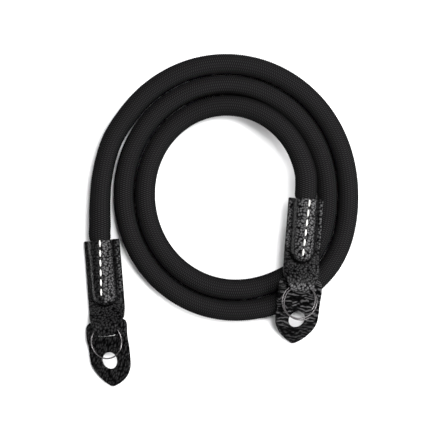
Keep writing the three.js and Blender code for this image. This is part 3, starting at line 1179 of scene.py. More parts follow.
@dataclass(frozen=True)
class LeatherTab:
    """A folded leather strip, moulded over the rope's end and sewn down beside it.

    The neck is the strip's half width before, in and after the fold. The hollow is where painted shade
    darkens the leather beside the tunnel, in tunnel radii: its start, its full depth from and to, and
    its end.
    """

    end: StrapEnd
    grain: Grain = Grain(GrainKind.PEBBLES, across=1.5, along=1.25, depth=0.34)
    step: float = 0.23
    hidden_step: float = 0.8
    tail: tuple[float, ...] = (0.4, 0.2, 0.1, 0.04, 0.0)
    columns: int = 88
    fold_steps: int = 12
    neck: tuple[float, float, float] = (6.6, 4.1, 5.3)
    lining: float = 0.24
    lining_reach: tuple[float, float] = (4.0, 8.0)
    edge_turns: tuple[float, ...] = (60, 30, 0, -30, -60)
    edge_share: float = 0.07
    end_reach: float = 0.8
    thinnest: float = 0.08
    nose_out: float = 1.12
    raised: float = 0.5
    crease: float = 0.2
    crease_out: float = 1.3
    crease_half: float = 0.5
    # Painted shade in the hollow beside the tunnel: its reach, its drop below the nose and its depth.
    hollow: tuple[float, float, float, float] = (0.62, 0.9, 1.14, 1.34)
    hollow_reach: float = 1.9
    hollow_drop: tuple[float, float] = (0.1, 0.5)
    hollow_painted_shade: float = 0.92
    crown_blend: tuple[float, float] = (-1.0, 0.6)
    fold_start: tuple[float, float] = (-0.8, 0.6)
    fold_stop: float = -1.2
    # Painted light on the flat strip and on the flanges beside the tunnel.
    flat_painted_light: float = 0.26
    flange_painted_light: float = 0.72
    dent: float = 0.5
    dent_half: float = 0.55
    stitch_reach: float = 1.75
    welt_height: float = 0.42
    welt_half: float = 0.24
    welt_fade: float = 2.0
    # Painted highlight along the welt.
    welt_painted_light: float = 0.7

    def sections(self) -> np.ndarray:
        """List the strip's sections in order.

        Returns:
            Rows of along, level, tunnel share and both half widths.
        """
        rows = [(self.end.station(row), *row[2:]) for row in UPPER]
        for n in range(self.fold_steps + 1):
            bend = math.pi * n / self.fold_steps
            outside = self.neck[0] if 2 * n < self.fold_steps else self.neck[2]
            half = outside + (self.neck[1] - outside) * math.sin(bend) ** 2
            along = self.end.fold - FOLD_AXIS + FOLD_RADIUS * math.sin(bend)
            rows.append((along, FOLD_AXIS + FOLD_RADIUS * math.cos(bend), 0, half, half))
        rows.extend((self.end.station(row), *row[2:]) for row in LOWER)
        return np.array(rows, float)

    def strip(self) -> Strip:
        """Cut the strip into rows: fine where it shows, coarse underneath, and close at its tail.

        Returns:
            The strip's sections and rows.
        """
        table = self.sections()
        path = lengths(table[:, :2])
        turn = path[len(UPPER) + self.fold_steps]
        shown = np.linspace(0, turn, int(turn / self.step))
        hidden = np.linspace(turn, path[-1], int((path[-1] - turn) / self.hidden_step))
        at = np.concatenate((shown, hidden[1:-1], path[-1] - np.array(self.tail)))
        return Strip(table, path, at)

    def set_back(self, out: np.ndarray) -> np.ndarray:
        """Say how much sooner the tunnel ends at distances from its crown, in tunnel radii."""
        return self.end.nose * (1 - np.sqrt(1 - np.minimum(np.asarray(out) / self.nose_out, 1) ** 2))

    def stitch_ends(self) -> np.ndarray:
        """Find where the stitches go into the leather.

        Returns:
            The places, across and along.
        """
        line = self.end.stitches
        along = np.linspace(*line.along, StitchRow.count)
        across = np.linspace(*line.across, StitchRow.count)
        slope = (line.across[1] - line.across[0]) / (line.along[1] - line.along[0])
        spots = []
        for a, b in zip(across, along):
            for reach in (-self.stitch_reach, self.stitch_reach):
                spots.append((a + reach * slope, b + reach))
        return np.array(spots)

    def arched(self, strip: Strip, left: np.ndarray, right: np.ndarray) -> tuple[np.ndarray, np.ndarray]:
        """Bend the strip's flat rows into the tunnel's arch where there is one.

        Args:
            strip: The strip's sections and rows.
            left: Each row's half width to the left, to the middle of the rounded edge.
            right: The same to the right.

        Returns:
            Each row's points: how far across the end, and how far over the flat leather.
        """
        outs, ups = [], []
        for sign, width, rows in ((-1, left, ARCH), (1, right, ARCH[-2::-1])):
            for row in rows:
                arched = width if row is ARCH[0] else row.out * TUNNEL_RADIUS
                share = strip.tunnel(strip.at + self.set_back(row.out))
                lean = self.end.skew * row.up / ARCH[-1].up * share
                outs.append(sign * (row.flat * width * (1 - share) + arched * share) + lean)
                ups.append(row.up * TUNNEL_RADIUS * share)
        spread = np.array([row.flat for row in ARCH])
        girth = np.concatenate((-spread, spread[-2::-1]))
        cut = np.linspace(-1, 1, self.columns)
        return through(cut, girth, np.array(outs)).T, through(cut, girth, np.array(ups)).T

    def spots(self, strip: Strip, across: np.ndarray, middle: np.ndarray) -> StripSpots:
        """Say where on the strip each point of its face is.

        Args:
            strip: The strip's sections and rows.
            across: How far across the end each row's points are.
            middle: The points themselves.

        Returns:
            The places, one for each point.
        """
        along, level = through(strip.at, strip.path, strip.table).T[:2]
        at = np.broadcast_to(strip.at[:, None], across.shape)
        reached = at + self.set_back(np.abs(across) / TUNNEL_RADIUS)
        steps = np.linalg.norm(np.diff(middle, axis=1, prepend=middle[:, :1]), axis=2)
        girth = np.cumsum(steps, axis=1)
        crook = strip.path[len(UPPER)]
        outermost = strip.path[len(UPPER) + self.fold_steps // 2]
        bend = smoothstep(at, crook + self.fold_start[0], crook + self.fold_start[1])
        bend = bend * (1 - smoothstep(at, outermost + self.fold_stop, outermost))
        return StripSpots(
            across=across,
            girth=girth - girth[:, self.columns // 2][:, None],
            path=at,
            along=np.broadcast_to(along[:, None], across.shape),
            level=np.broadcast_to(level[:, None], across.shape),
            tunnel=strip.tunnel(reached),
            before=strip.tunnel(reached - self.hollow_reach),
            bend=bend,
        )

    def wear_and_painted_light(self, spots: StripSpots) -> np.ndarray:
        """Work out the face's painted light: painted highlights on the pebble tops, the crests, the
        flanges and the fold, a painted tone for each half of the tunnel, and painted shade in the hollows.

        Args:
            spots: The places on the strip's face.

        Returns:
            The painted light at each place.
        """
        across, tunnel = spots.across, spots.tunnel
        # Painted shade: the hollows beside the tunnel and below its nose are painted darker; pressed holds
        # this painted shade.
        out = (np.abs(across) - np.where(across < 0, *self.end.hollow)) / TUNNEL_RADIUS
        off_crest = smoothstep(out, *self.hollow[:2])
        beside = off_crest * (1 - smoothstep(out, *self.hollow[2:])) * tunnel
        pressed = np.maximum(beside, smoothstep(spots.before - tunnel, *self.hollow_drop))
        # Painted highlight on the tunnel's crest and on the flanges, and a painted tone for each half of
        # the tunnel.
        crest = tunnel * (1 - off_crest)
        plain = self.flat_painted_light + (self.flange_painted_light - self.flat_painted_light) * tunnel
        left, right = self.end.painted_light
        half = left + (right - left) * smoothstep(across, *self.crown_blend)
        painted_highlight_and_shade = (1 + (half - 1) * tunnel) * (plain + (1 - plain) * crest)
        # Painted highlight on the fold.
        painted_highlight_and_shade = painted_highlight_and_shade + (self.end.fold_painted_light - self.flat_painted_light) * spots.bend
        return self.grain.painted_light(spots.girth, spots.path) * (1 - self.hollow_painted_shade * pressed) * painted_highlight_and_shade

    def relief(self, spots: StripSpots) -> tuple[np.ndarray, np.ndarray]:
        """Work out the face's grain, creases, welt and stitch dents.

        Args:
            spots: The places on the strip's face.

        Returns:
            How far the face stands proud, in millimetres, and its painted light.
        """
        across, along, tunnel = spots.across, spots.along, spots.tunnel
        painted_light = self.wear_and_painted_light(spots)
        height = self.grain.height(spots.girth, spots.path)
        away = (np.abs(across) - self.crease_out * TUNNEL_RADIUS) / self.crease_half
        height = height - self.crease * np.exp(-(away**2)) * smoothstep(tunnel, self.raised, 1.0)
        if self.end.welt:
            line = np.array(self.end.welt)
            away = np.abs(across - np.interp(along, line[:, 0], line[:, 1])) / self.welt_half
            shown = smoothstep(line[-1, 0] - along, 0.0, self.welt_fade) * (spots.level > LEATHER)
            height = height + self.welt_height * np.exp(-(away**2)) * shown
            # Painted highlight along the welt.
            painted_light = np.maximum(painted_light, self.welt_painted_light * np.exp(-(away**2)) * shown)
        for a, b in self.stitch_ends():
            away = ((across - a) ** 2 + (along - b) ** 2) / self.dent_half**2
            height = height - self.dent * np.exp(-away) * (tunnel > self.raised)
        return height, painted_light

    def rims(self, middle: np.ndarray, normal: np.ndarray, thick: np.ndarray) -> list[np.ndarray]:
        """Round the strip's two long edges.

        Args:
            middle: The points of the strip's middle layer.
            normal: Their normals.
            thick: Half the leather's thickness at each row.

        Returns:
            The points round the last column's edge and round the first column's.
        """
        turns = np.radians(self.edge_turns)
        rims = []
        for column, inward, order in ((-1, -2, turns), (0, 1, -turns)):
            way = unit(middle[:, column] - middle[:, inward])[:, None] * np.cos(order)[None, :, None]
            lift = normal[:, column][:, None] * np.sin(order)[None, :, None]
            rims.append(middle[:, column][:, None] + thick[..., None] * (way + lift))
        return rims

    def build(self, material: bpy.types.Material) -> bpy.types.Object:
        """Build the strip as one closed skin with rounded edges.

        Args:
            material: The leather's finish.

        Returns:
            The tab.
        """
        strip = self.strip()
        at, half = strip.at, LEATHER / 2
        along, level, tunnel, left, right = through(at, strip.path, strip.table).T
        across, up = self.arched(strip, left - half, right - half)
        rolled = (level - half) * np.tan(np.radians(self.end.read("roll", along)))
        drawn = self.end.draw * (1 - tunnel) * rolled
        middle = self.end.place(across + drawn[:, None], along[:, None], level[:, None] + up)
        normal = unit(np.cross(np.gradient(middle, axis=0), np.gradient(middle, axis=1)))
        close = np.minimum(at, at[-1] - at)
        inset = 1 - np.clip(close / half, self.thinnest, 1)
        thin = np.sqrt(np.clip(1 - inset**2, 0, 1))[:, None]
        face, painted_light = self.relief(self.spots(strip, across, middle))
        from_side = 1 - np.abs(np.linspace(-1, 1, self.columns))
        edge = smoothstep(from_side, 0, self.edge_share)[None]
        edge = np.minimum(edge, smoothstep(close, 0, self.end_reach)[:, None])
        outer = middle + normal * (half * thin + face * edge)[..., None]
        lined = smoothstep(strip.table[len(UPPER) - 1, 0] - along, *self.lining_reach)
        lined = (lined * (at < strip.path[len(UPPER)]))[:, None]
        inner = middle - normal * (half * thin + self.lining * lined * thin)[..., None]
        rims = self.rims(middle, normal, half * thin)
        rings = np.concatenate((outer, rims[0], inner[:, ::-1], rims[1]), axis=1)
        tops = np.zeros(rings.shape[:2])
        tops[:, : self.columns] = painted_light
        girdle = np.linalg.norm(np.diff(rings, axis=1, append=rings[:, :1]), axis=2)
        girdle = np.concatenate((np.zeros((len(at), 1)), np.cumsum(girdle, axis=1)), axis=1)
        chart = np.stack((girdle, np.broadcast_to(at[:, None], girdle.shape)), -1)
        surface = skin_rings(rings[:, ::-1], chart[:, ::-1], tops[:, ::-1])
        tab = make_piece(f"leather_tab_{self.end.side.value}", surface, material)
        seat_piece(tab, Slot.LEATHER, f"tab_{self.end.side.value}")
        return tab


@dataclass(frozen=True)
class LeatherPad:
    """The leather shield under a split ring, with a round hole and a slit for the strip."""

    end: StrapEnd
    hole_radius: float = 4.0
    slit_half: float = 4.6
    slit_before: float = 3.6
    slit_after: float = 0.16
    tip_over: float = 0.1
    edge_samples: int = 12
    round_off: float = 0.6
    step: float = 0.27
    insets: tuple[float, ...] = (0.0, 0.08, 0.22, 0.42, 0.66)
    grid_half: float = 12.0
    grid_over: tuple[float, float] = (0.5, 1.0)
    grid_row: float = 0.87
    grid_clear: float = 0.3
    merge: float = 1e-5
    rim_reach: float = 1e-3
    grain_reach: tuple[float, float] = (0.1, 0.9)
    # Where the pad's painted light changes from its body's to its tip's.
    tip_painted_light_reach: tuple[float, float] = (-2.0, 5.0)

    def sway(self, along: np.ndarray) -> np.ndarray:
        """Say how far the pad bends sideways at distances from its upper edge."""
        return self.end.pad_tip * (along / PAD[-1].along) ** 2

    def outline(self) -> np.ndarray:
        """Draw the pad's outer edge.

        Returns:
            A closed run of even steps, across and along.
        """
        right = [(row.right, row.along) for row in PAD]
        left = [(-row.left, row.along) for row in reversed(PAD)]
        tip = (0.0, PAD[-1].along + self.tip_over)
        loop = np.array([(0.0, 0.0), *right, tip, *left, (0.0, 0.0)])
        return even_steps(soft_curve(loop, self.edge_samples), self.step)[:-1]

    def hole(self) -> np.ndarray:
        """Draw the round hole's edge.

        Returns:
            A closed run of even steps, across and along.
        """
        count = int(2 * math.pi * self.hole_radius / self.step)
        turn = np.linspace(0, 2 * math.pi, count, endpoint=False)
        middle = self.end.hole - self.end.pad_top
        across = self.hole_radius * np.cos(turn) - self.sway(middle)
        return np.stack((across, middle - self.hole_radius * np.sin(turn)), 1)

    def slit(self) -> np.ndarray:
        """Draw the slit's edge, behind the fold.

        Returns:
            A closed run of even steps, across and along.
        """
        fold = self.end.fold - self.end.pad_top
        low, high, half = fold - self.slit_before, fold + self.slit_after, self.slit_half
        corners = np.array([(half, low), (-half, low), (-half, high), (half, high), (half, low)])
        return even_steps(corners, self.step)[:-1]

    @staticmethod
    def inset(loop: np.ndarray, by: float) -> np.ndarray:
        """Move a closed edge sideways into the leather, which is on its inner side."""
        ahead = unit(np.roll(loop, -1, axis=0) - np.roll(loop, 1, axis=0))
        return loop + by * np.stack((-ahead[:, 1], ahead[:, 0]), 1)

    @staticmethod
    def distance(points: np.ndarray, loop: np.ndarray) -> np.ndarray:
        """Measure how far points are from a closed edge.

        Args:
            points: The points, across and along.
            loop: The edge's points.

        Returns:
            One distance for each point.
        """
        start, run = loop, np.roll(loop, -1, axis=0) - loop
        share = np.einsum("pij,ij->pi", points[:, None] - start, run) / (run**2).sum(1)
        foot = start + np.clip(share, 0, 1)[..., None] * run
        return np.linalg.norm(points[:, None] - foot, axis=2).min(1)

    @staticmethod
    def inside(points: np.ndarray, loop: np.ndarray) -> np.ndarray:
        """Tell which points lie inside a closed edge.

        Args:
            points: The points, across and along.
            loop: The edge's points.

        Returns:
            True or false for each point.
        """
        start, stop = loop, np.roll(loop, -1, axis=0)
        x, y = points[:, :1], points[:, 1:]
        spans = (start[:, 1] > y) != (stop[:, 1] > y)
        rise = np.where(stop[:, 1] == start[:, 1], 1, stop[:, 1] - start[:, 1])
        cross = start[:, 0] + (y - start[:, 1]) * (stop[:, 0] - start[:, 0]) / rise
        return (spans & (x < cross)).sum(1) % 2 == 1

    @staticmethod
    def renumber(faces: np.ndarray, count: int) -> tuple[np.ndarray, np.ndarray]:
        """Leave out the points that no face uses.

        Args:
            faces: The corners of each face.
            count: How many points there are.

        Returns:
            The points that are used, and the faces in their new numbers.
        """
        used = np.unique(faces)
        remap = np.full(count, -1)
        remap[used] = np.arange(len(used))
        return used, remap[faces]

    def grid(self, edges: tuple[np.ndarray, ...]) -> np.ndarray:
        """Fill the pad with staggered rows of points, clear of its edges.

        Args:
            edges: The outer edge, and the edges of the hole and the slit.

        Returns:
            The points, across and along.
        """
        before, after = self.grid_over
        rows = np.arange(-before, PAD[-1].along + after, self.step * self.grid_row)
        columns = np.arange(-self.grid_half, self.grid_half, self.step)
        shift = 0.5 * self.step * (np.arange(len(rows)) % 2)
        across = columns[None, :] + shift[:, None]
        spots = np.stack((across, np.broadcast_to(rows[:, None], across.shape)), -1).reshape(-1, 2)
        away = np.min([self.distance(spots, loop) for loop in edges], axis=0)
        clear = away > self.insets[-1] + self.grid_clear * self.step
        return spots[clear & self.inside(spots, edges[0])]

    def flat_mesh(self) -> tuple[np.ndarray, np.ndarray, np.ndarray]:
        """Cut the pad's flat shape into small triangles.

        Returns:
            The flat points, the triangles, and each point's distance from the nearest edge.
        """
        edges = (self.outline(), self.hole(), self.slit())
        points, links = [], []
        for loop in edges:
            for by in self.insets:
                first = sum(len(p) for p in points)
                points.append(self.inset(loop, by))
                ring = np.arange(len(loop)) + first
                if by == 0:
                    links.extend(zip(ring.tolist(), np.roll(ring, -1).tolist()))
        points.append(self.grid(edges))
        result = delaunay_2d_cdt([Vector(p) for p in np.vstack(points)], links, [], 1, self.merge)
        flat = np.array([tuple(v) for v in result[0]])
        faces = np.array(result[2])
        middle = flat[faces].mean(axis=1)
        cut = self.inside(middle, edges[1]) | self.inside(middle, edges[2])
        used, faces = self.renumber(faces[~cut & self.inside(middle, edges[0])], len(flat))
        flat = flat[used]
        return flat, faces, np.min([self.distance(flat, loop) for loop in edges], axis=0)

    def wear_and_painted_light(self, across: np.ndarray, along: np.ndarray) -> np.ndarray:
        """Work out the pad's painted light, from its body to its tip: painted highlights on its grain's
        tops.

        Args:
            across: Places across the pad.
            along: Places along it from its upper edge.

        Returns:
            The painted light at each place.
        """
        # Painted highlight on the grain's tops, scaled for the body and for the tip.
        body, tip = self.end.pad_painted_light
        hole, at = self.end.hole, self.end.pad_top + along
        past = smoothstep(at, hole + self.tip_painted_light_reach[0], hole + self.tip_painted_light_reach[1])
        return (body + (tip - body) * past) * self.end.pad_grain.painted_light(across, along)

    def build(self, material: bpy.types.Material) -> bpy.types.Object:
        """Build the pad: two faces that meet round its edges, laid where the pad lies.

        Args:
            material: The leather's finish.

        Returns:
            The pad.
        """
        flat, faces, away = self.flat_mesh()
        count = len(flat)
        rim = away < self.rim_reach
        rounding = np.clip(away / self.round_off, 0, 1)
        half = PAD_LEATHER / 2 * np.sqrt(1 - (1 - rounding) ** 2)
        half[rim] = 0
        across, along = flat.T
        proud = self.end.pad_grain.height(across, along) * smoothstep(away, *self.grain_reach)
        at = self.end.pad_top + along
        settled = smoothstep(at, self.end.fold, self.end.fold + PAD_SETTLE)
        level = PAD_LEVEL * (1 - settled) + PAD_LEATHER / 2
        swayed = across + self.sway(along)
        top = self.end.place(swayed, at, level + half + proud)
        under = self.end.place(swayed, at, level - half)
        twin = np.where(rim, np.arange(count), np.arange(count) + count)
        side = np.cross(flat[faces[:, 1]] - flat[faces[:, 0]], flat[faces[:, 2]] - flat[faces[:, 0]])
        upward = np.where((side > 0)[:, None], faces[:, ::-1], faces)
        corners = np.vstack((upward, twin[upward[:, ::-1]]))
        kept, triangles = self.renumber(corners, 2 * count)
        surface = Surface(
            points=np.vstack((top, under))[kept],
            faces=[tuple(triangle) for triangle in triangles.tolist()],
            chart=np.vstack((flat, flat))[corners].reshape(-1, 2),
            painted_light=np.concatenate((self.wear_and_painted_light(across, along), np.zeros(count)))[kept],
        )
        pad = make_piece(f"leather_pad_{self.end.side.value}", surface, material)
        seat_piece(pad, Slot.LEATHER, f"pad_{self.end.side.value}")
        return pad


class NodeForm(NodeTree):
    """A geometry node tree with named sizes."""

    def __init__(self, name: str) -> None:
        """Start a tree that takes and gives a shape.

        Args:
            name: The tree's name.
        """
        self.tree = bpy.data.node_groups.new(name, "GeometryNodeTree")
        self.tree.interface.new_socket("Geometry", in_out="INPUT", socket_type="NodeSocketGeometry")
        self.tree.interface.new_socket("Geometry", in_out="OUTPUT", socket_type="NodeSocketGeometry")
        self.entry = self.add("NodeGroupInput")
        self.exit = self.add("NodeGroupOutput")
        self.values: dict[str, Any] = {}

    def size(self, name: str, value: Any, kind: str = "Float") -> bpy.types.NodeSocket:
        """Add a named input.

        Args:
            name: What it sizes.
            value: Its value on the piece.
            kind: Its socket's kind.

        Returns:
            The socket that gives it inside the tree.
        """
        item = self.tree.interface.new_socket(name, in_out="INPUT", socket_type="NodeSocket" + kind)
        self.values[item.identifier] = value
        return self.entry.outputs[name]

    def close(self, shape: bpy.types.NodeSocket, material: bpy.types.NodeSocket) -> None:
        """End the tree: real geometry, smooth, with its finish.

        Args:
            shape: The finished shape.
            material: The finish's socket.
        """
        real = self.add("GeometryNodeRealizeInstances", {"Geometry": shape})
        smooth = self.add("GeometryNodeSetShadeSmooth", {"Geometry": real.outputs["Geometry"]})
        dress = self.add(
            "GeometryNodeSetMaterial", {"Geometry": smooth.outputs["Geometry"], "Material": material}
        )
        self.feed(dress.outputs["Geometry"], self.exit.inputs["Geometry"])

    def shift(self, feeds: dict[str, Any]) -> bpy.types.NodeSocket:
        """Give a vector made of the parts that are named, with 0 for the rest."""
        return self.add("ShaderNodeCombineXYZ", feeds).outputs["Vector"]

    def make(self, base: bpy.types.Object, name: str) -> bpy.types.Object:
        """Run the tree on a base object and keep the result as a plain mesh.

        Args:
            base: The object that the tree starts from, which is removed.
            name: The new piece's name.

        Returns:
            The new piece, at the origin.
        """
        modifier = base.modifiers.new("form", "NODES")
        modifier.node_group = self.tree
        for identifier, value in self.values.items():
            modifier[identifier] = value
        bpy.context.view_layer.update()
        graph = bpy.context.evaluated_depsgraph_get()
        mesh = bpy.data.meshes.new_from_object(base.evaluated_get(graph), depsgraph=graph)
        bpy.data.objects.remove(base)
        mesh.name = name
        piece = bpy.data.objects.new(name, mesh)
        bpy.context.scene.collection.objects.link(piece)
        return piece


@dataclass(frozen=True)
class SplitRing:
    """A split ring: a flat spring wire wound nearly twice round."""

    end: StrapEnd
    radius: float = 8.3
    turns: float = 1.92
    start: float = -60.0
    pitch: float = 0.76
    axial: float = 0.46
    radial: float = 0.56
    fillet: float = 0.42
    steps: int = 96

    def seat(self) -> Matrix:
        """Work out how the ring stands on its end.

        Returns:
            The matrix that places the ring.
        """
        seat = self.end.ring
        _, side, forward, normal = self.end.axes(np.array(seat.along))
        where = self.end.place(seat.across, seat.along, seat.up) * MM
        basis = Matrix.Identity(4)
        for column, vector in enumerate((side, -forward, normal, where)):
            for row in range(3):
                basis[row][column] = vector[row]
        tilt = Matrix.Rotation(math.radians(seat.tilt), 4, "X")
        return basis @ tilt @ Matrix.Rotation(-math.radians(seat.lean), 4, "Y")

    def winding(self, form: NodeForm) -> bpy.types.NodeSocket:
        """Wind the wire's centreline, with its coils slipped apart.

        Args:
            form: The tree that it is wound in.

        Returns:
            The centreline.
        """
        radius = form.size("Radius", self.radius * MM)
        turns = form.size("Turns", self.turns)
        rise = form.size("Rise", self.pitch * self.turns * MM)
        start = form.size("Start turn", math.radians(self.start))
        slip_across, slip_along = self.end.ring.slip
        slip = form.size("Slip", (slip_across * MM, slip_along * MM, 0.0), "Vector")
        helix = form.add(
            "GeometryNodeCurveSpiral",
            {
                "Resolution": self.steps,
                "Rotations": turns,
                "Start Radius": radius,
                "End Radius": radius,
                "Height": rise,
            },
        )
        seated = form.add(
            "GeometryNodeTransform",
            {
                "Geometry": helix.outputs["Curve"],
                "Translation": form.shift({"Z": form.math("MULTIPLY", rise, -0.5)}),
                "Rotation": form.shift({"Z": start}),
            },
        )
        reach = form.add("GeometryNodeSplineParameter").outputs["Factor"]
        share = form.math("SUBTRACT", reach, 0.5)
        apart = form.add("ShaderNodeVectorMath", {0: slip, "Scale": share}, operation="SCALE")
        loosened = form.add(
            "GeometryNodeSetPosition",
            {"Geometry": seated.outputs["Geometry"], "Offset": apart.outputs["Vector"]},
        )
        upright = form.add("GeometryNodeSetCurveNormal", {"Curve": loosened.outputs["Geometry"]})
        return upright.outputs["Curve"]

    def section(self, form: NodeForm) -> bpy.types.NodeSocket:
        """Draw the wire's section, a rectangle with rounded corners.

        Args:
            form: The tree that it is drawn in.

        Returns:
            The section's outline.
        """
        radial = form.size("Wire across", self.radial * MM)
        axial = form.size("Wire high", self.axial * MM)
        wire = form.add("GeometryNodeCurvePrimitiveQuadrilateral", {"Width": radial, "Height": axial})
        corner = form.math("MULTIPLY", axial, self.fillet)
        rounded = form.add("GeometryNodeFilletCurve", {"Curve": wire.outputs["Curve"], "Radius": corner})
        return rounded.outputs["Curve"]

    def form(self, material: bpy.types.Material) -> NodeForm:
        """Build the tree that winds the wire.

        Args:
            material: The wire's finish.

        Returns:
            The tree.
        """
        form = NodeForm("split_ring")
        swept = form.add(
            "GeometryNodeCurveToMesh",
            {"Curve": self.winding(form), "Profile Curve": self.section(form), "Fill Caps": True},
        )
        form.close(swept.outputs["Mesh"], form.size("Finish", material, "Material"))
        return form

    def build(self, material: bpy.types.Material) -> bpy.types.Object:
        """Wind the ring and stand it on its end.

        Args:
            material: The wire's finish.

        Returns:
            The ring.
        """
        name = f"split_ring_{self.end.side.value}"
        base = bpy.data.objects.new("wire", bpy.data.meshes.new("wire"))
        bpy.context.scene.collection.objects.link(base)
        ring = self.form(material).make(base, name)
        ring.data.transform(self.seat())
        seat_piece(ring, Slot.STEEL, f"ring_{self.end.side.value}")
        return ring


@dataclass(frozen=True)
class StitchRow:
    """A row of waxed stitches along a tunnel's crown."""

    count: ClassVar[int] = 6

    end: StrapEnd
    length: float = 3.3
    thread: float = 0.52
    arch: float = 0.5
    sunk: float = 0.12
    sunk_share: float = -0.7
    plies: int = 3
    ply_depth: float = 0.14
    twist: float = 1.6
    blunt: float = 0.6
    tip_girth: float = 0.25
    line_points: int = 24
    crown_rows: int = 6
    thread_steps: int = 19
    thread_sides: int = 18

    def line(self) -> bpy.types.Object:
        """Draw the line that the stitches follow, on the tunnel's crown.

        Returns:
            The line, as a curve object.
        """
        line = self.end.stitches
        along = np.linspace(*line.along, self.line_points)
        across = np.linspace(*line.across, self.line_points)
        crown = np.array([(row.out, row.up) for row in ARCH[::-1]]) * TUNNEL_RADIUS
        reach, height = crown[: self.crown_rows].T
        arch = np.interp(np.abs(across - self.end.skew), reach, height)
        points = self.end.place(across, along, FLANGE + LEATHER / 2 + arch - self.sunk) * MM
        curve = bpy.data.curves.new("stitch_line", "CURVE")
        curve.dimensions = "3D"
        spline = curve.splines.new("POLY")
        spline.points.add(len(points) - 1)
        spline.points.foreach_set("co", np.column_stack((points, np.ones(len(points)))).ravel())
        base = bpy.data.objects.new("stitch_line", curve)
        bpy.context.scene.collection.objects.link(base)
        return base

    def thread_run(
        self, form: NodeForm, length: bpy.types.NodeSocket, arch: bpy.types.NodeSocket
    ) -> bpy.types.NodeSocket:
        """Draw one stitch's thread: arched, thinner at its ends and twisted.

        Args:
            form: The tree that it is drawn in.
            length: The stitch's length.
            arch: How far its middle stands over its ends.

        Returns:
            The thread's centreline.
        """
        half = form.math("MULTIPLY", length, 0.5)
        start = form.shift({"X": form.math("MULTIPLY", half, -1.0)})
        stop = form.shift({"X": half})
        core = form.add("GeometryNodeCurvePrimitiveLine", {"Start": start, "End": stop})
        fine = form.add(
            "GeometryNodeResampleCurve", {"Curve": core.outputs["Curve"], "Count": self.thread_steps}
        )
        share = form.add("GeometryNodeSplineParameter").outputs["Factor"]
        swell = form.math("SINE", form.math("MULTIPLY", share, math.pi))
        raised = form.add(
            "GeometryNodeSetPosition",
            {
                "Geometry": fine.outputs["Curve"],
                "Offset": form.shift({"Z": form.math("MULTIPLY", swell, arch)}),
            },
        )
        lowered = form.add(
            "GeometryNodeTransform",
            {
                "Geometry": raised.outputs["Geometry"],
                "Translation": form.shift({"Z": form.math("MULTIPLY", arch, self.sunk_share)}),
            },
        )
        twisted = form.add(
            "GeometryNodeSetCurveTilt",
            {
                "Curve": lowered.outputs["Geometry"],
                "Tilt": form.math("MULTIPLY", share, self.twist * 2 * math.pi),
            },
        )
        girth = form.math("MULTIPLY", form.math("POWER", swell, self.blunt), 1 - self.tip_girth)
        girth = form.math("ADD", girth, self.tip_girth)
        shaped = form.add(
            "GeometryNodeSetCurveRadius", {"Curve": twisted.outputs["Curve"], "Radius": girth}
        )
        return shaped.outputs["Curve"]

    def thread_section(self, form: NodeForm, thread: bpy.types.NodeSocket) -> bpy.types.NodeSocket:
        """Draw the thread's section, one lobe for each ply.

        Args:
            form: The tree that it is drawn in.
            thread: The thread's radius.

        Returns:
            The section's outline.
        """
        circle = form.add(
            "GeometryNodeCurvePrimitiveCircle", {"Resolution": self.thread_sides, "Radius": thread}
        )
        share = form.add("GeometryNodeSplineParameter").outputs["Factor"]
        turn = form.math("MULTIPLY", share, 2 * math.pi * self.plies)
        lobe = form.math("MULTIPLY", form.math("COSINE", turn), self.ply_depth)
        lobe = form.math("ADD", lobe, 1 - self.ply_depth)
        spot = form.add("GeometryNodeInputPosition").outputs["Position"]
        scaled = form.add("ShaderNodeVectorMath", {0: spot, "Scale": lobe}, operation="SCALE")
        lobed = form.add(
            "GeometryNodeSetPosition",
            {"Geometry": circle.outputs["Curve"], "Position": scaled.outputs["Vector"]},
        )
        return lobed.outputs["Geometry"]

    def form(self, material: bpy.types.Material) -> NodeForm:
        """Build the tree that twists one stitch and repeats it along the line.

        Args:
            material: The thread's finish.

        Returns:
            The tree.
        """
        form = NodeForm("stitch_row")
        count = form.size("Stitches", self.count, "Int")
        length = form.size("Stitch length", self.length * MM)
        thread = form.size("Thread", self.thread * MM)
        arch = form.size("Arch", self.arch * MM)
        finish = form.size("Finish", material, "Material")
        stitch = form.add(
            "GeometryNodeCurveToMesh",
            {
                "Curve": self.thread_run(form, length, arch),
                "Profile Curve": self.thread_section(form, thread),
                "Fill Caps": True,
            },
        )
        scale = stitch.inputs.get("Scale")
        if scale is not None:
            form.feed(form.add("GeometryNodeInputRadius").outputs["Radius"], scale)
        spots = form.add(
            "GeometryNodeCurveToPoints", {"Curve": form.entry.outputs["Geometry"], "Count": count}
        )
        aim = form.add(
            "FunctionNodeAlignRotationToVector",
            {"Vector": spots.outputs["Tangent"]},
            axis="X",
            pivot_axis="Z",
        )
        row = form.add(
            "GeometryNodeInstanceOnPoints",
            {
                "Points": spots.outputs["Points"],
                "Instance": stitch.outputs["Mesh"],
                "Rotation": aim.outputs["Rotation"],
            },
        )
        form.close(row.outputs["Instances"], finish)
        return form

    def build(self, material: bpy.types.Material) -> bpy.types.Object:
        """Sew the row.

        Args:
            material: The thread's finish.

        Returns:
            The stitches, as one piece.
        """
        name = f"stitches_{self.end.side.value}"
        row = self.form(material).make(self.line(), name)
        seat_piece(row, Slot.ROPE)
        return row


@dataclass(frozen=True)
class Softbox:
    """A square studio light that looks at the strap."""

    name: str
    place: tuple[float, float, float]
    size: float
    power: float

    def build(self) -> None:
        """Hang the light."""
        light = bpy.data.lights.new(self.name, "AREA")
        light.shape = "SQUARE"
        light.size = self.size * MM
        light.energy = self.power
        lamp = bpy.data.objects.new(self.name, light)
        lamp.location = Vector(self.place) * MM
        lamp.rotation_euler = (-lamp.location).to_track_quat("-Z", "Y").to_euler()
        bpy.context.scene.collection.objects.link(lamp)


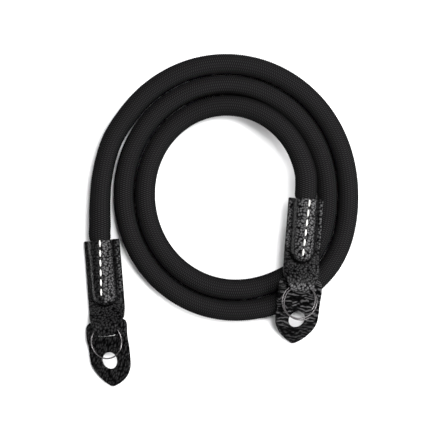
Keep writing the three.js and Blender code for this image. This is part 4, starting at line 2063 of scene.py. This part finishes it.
@dataclass(frozen=True)
class Studio:
    """The pale paper, the lights and the camera, which looks straight down."""

    middle: tuple[float, float] = (-3.885, 5.2)
    camera_height: float = 805.0
    focus_height: float = 5.0
    view_width: float = 208.25
    sensor: float = 36.0
    nearest: float = 10.0
    paper: float = 4000.0
    ambient: float = 0.02
    lights: tuple[Softbox, ...] = (
        Softbox("top_light", (260, 260, 1020), 380, 13.5),
        Softbox("near_right_light", (790, -530, 550), 320, 13.5),
        Softbox("far_right_light", (674, 674, 550), 320, 8.8),
        Softbox("far_light", (0, 550, 953), 320, 1.6),
        Softbox("left_light", (-700, 0, 840), 320, 3.2),
    )

    def lay_paper(self) -> None:
        """Lay the paper that the strap lies on."""
        half = self.paper / 2 * MM
        corners = [(-half, -half, 0), (half, -half, 0), (half, half, 0), (-half, half, 0)]
        mesh = bpy.data.meshes.new("paper")
        mesh.from_pydata(corners, [], [(0, 1, 2, 3)])
        mesh.materials.append(PaperFinish().material())
        paper = bpy.data.objects.new("paper", mesh)
        bpy.context.scene.collection.objects.link(paper)

    def light(self) -> None:
        """Hang the lights, in a room with a little light of its own."""
        for light in self.lights:
            light.build()
        world = bpy.data.worlds.new("studio")
        world.use_nodes = True
        sky = world.node_tree.nodes["Background"]
        sky.inputs["Color"].default_value = (1, 1, 1, 1)
        sky.inputs["Strength"].default_value = self.ambient
        bpy.context.scene.world = world

    def aim_camera(self) -> None:
        """Set the camera over the strap, with the photograph's frame."""
        scene = bpy.context.scene
        lens = bpy.data.cameras.new("camera")
        lens.sensor_width = self.sensor
        lens.lens = self.sensor * (self.camera_height - self.focus_height) / self.view_width
        lens.clip_start = self.nearest * MM
        camera = bpy.data.objects.new("camera", lens)
        camera.location = Vector((*self.middle, self.camera_height)) * MM
        scene.collection.objects.link(camera)
        scene.camera = camera
        scene.view_settings.view_transform = "Standard"

    def build(self) -> None:
        """Set out the paper, the lights and the camera."""
        self.lay_paper()
        self.light()
        self.aim_camera()
        LOG.info("studio: %d lights", len(self.lights))


def main() -> None:
    """Build the studio and every piece of the strap."""
    logging.basicConfig(level=logging.INFO, format="%(message)s")
    Studio().build()
    BraidedRope().build(BraidFinish().material())
    moulded = MOULDED_LEATHER.material()
    crinkled = CRINKLED_LEATHER.material()
    steel = SteelFinish().material()
    thread = ThreadFinish().material()
    for end in ENDS:
        LeatherTab(end).build(moulded)
        LeatherPad(end).build(crinkled)
        SplitRing(end).build(steel)
        StitchRow(end).build(thread)


if __name__ == "__main__":
    main()
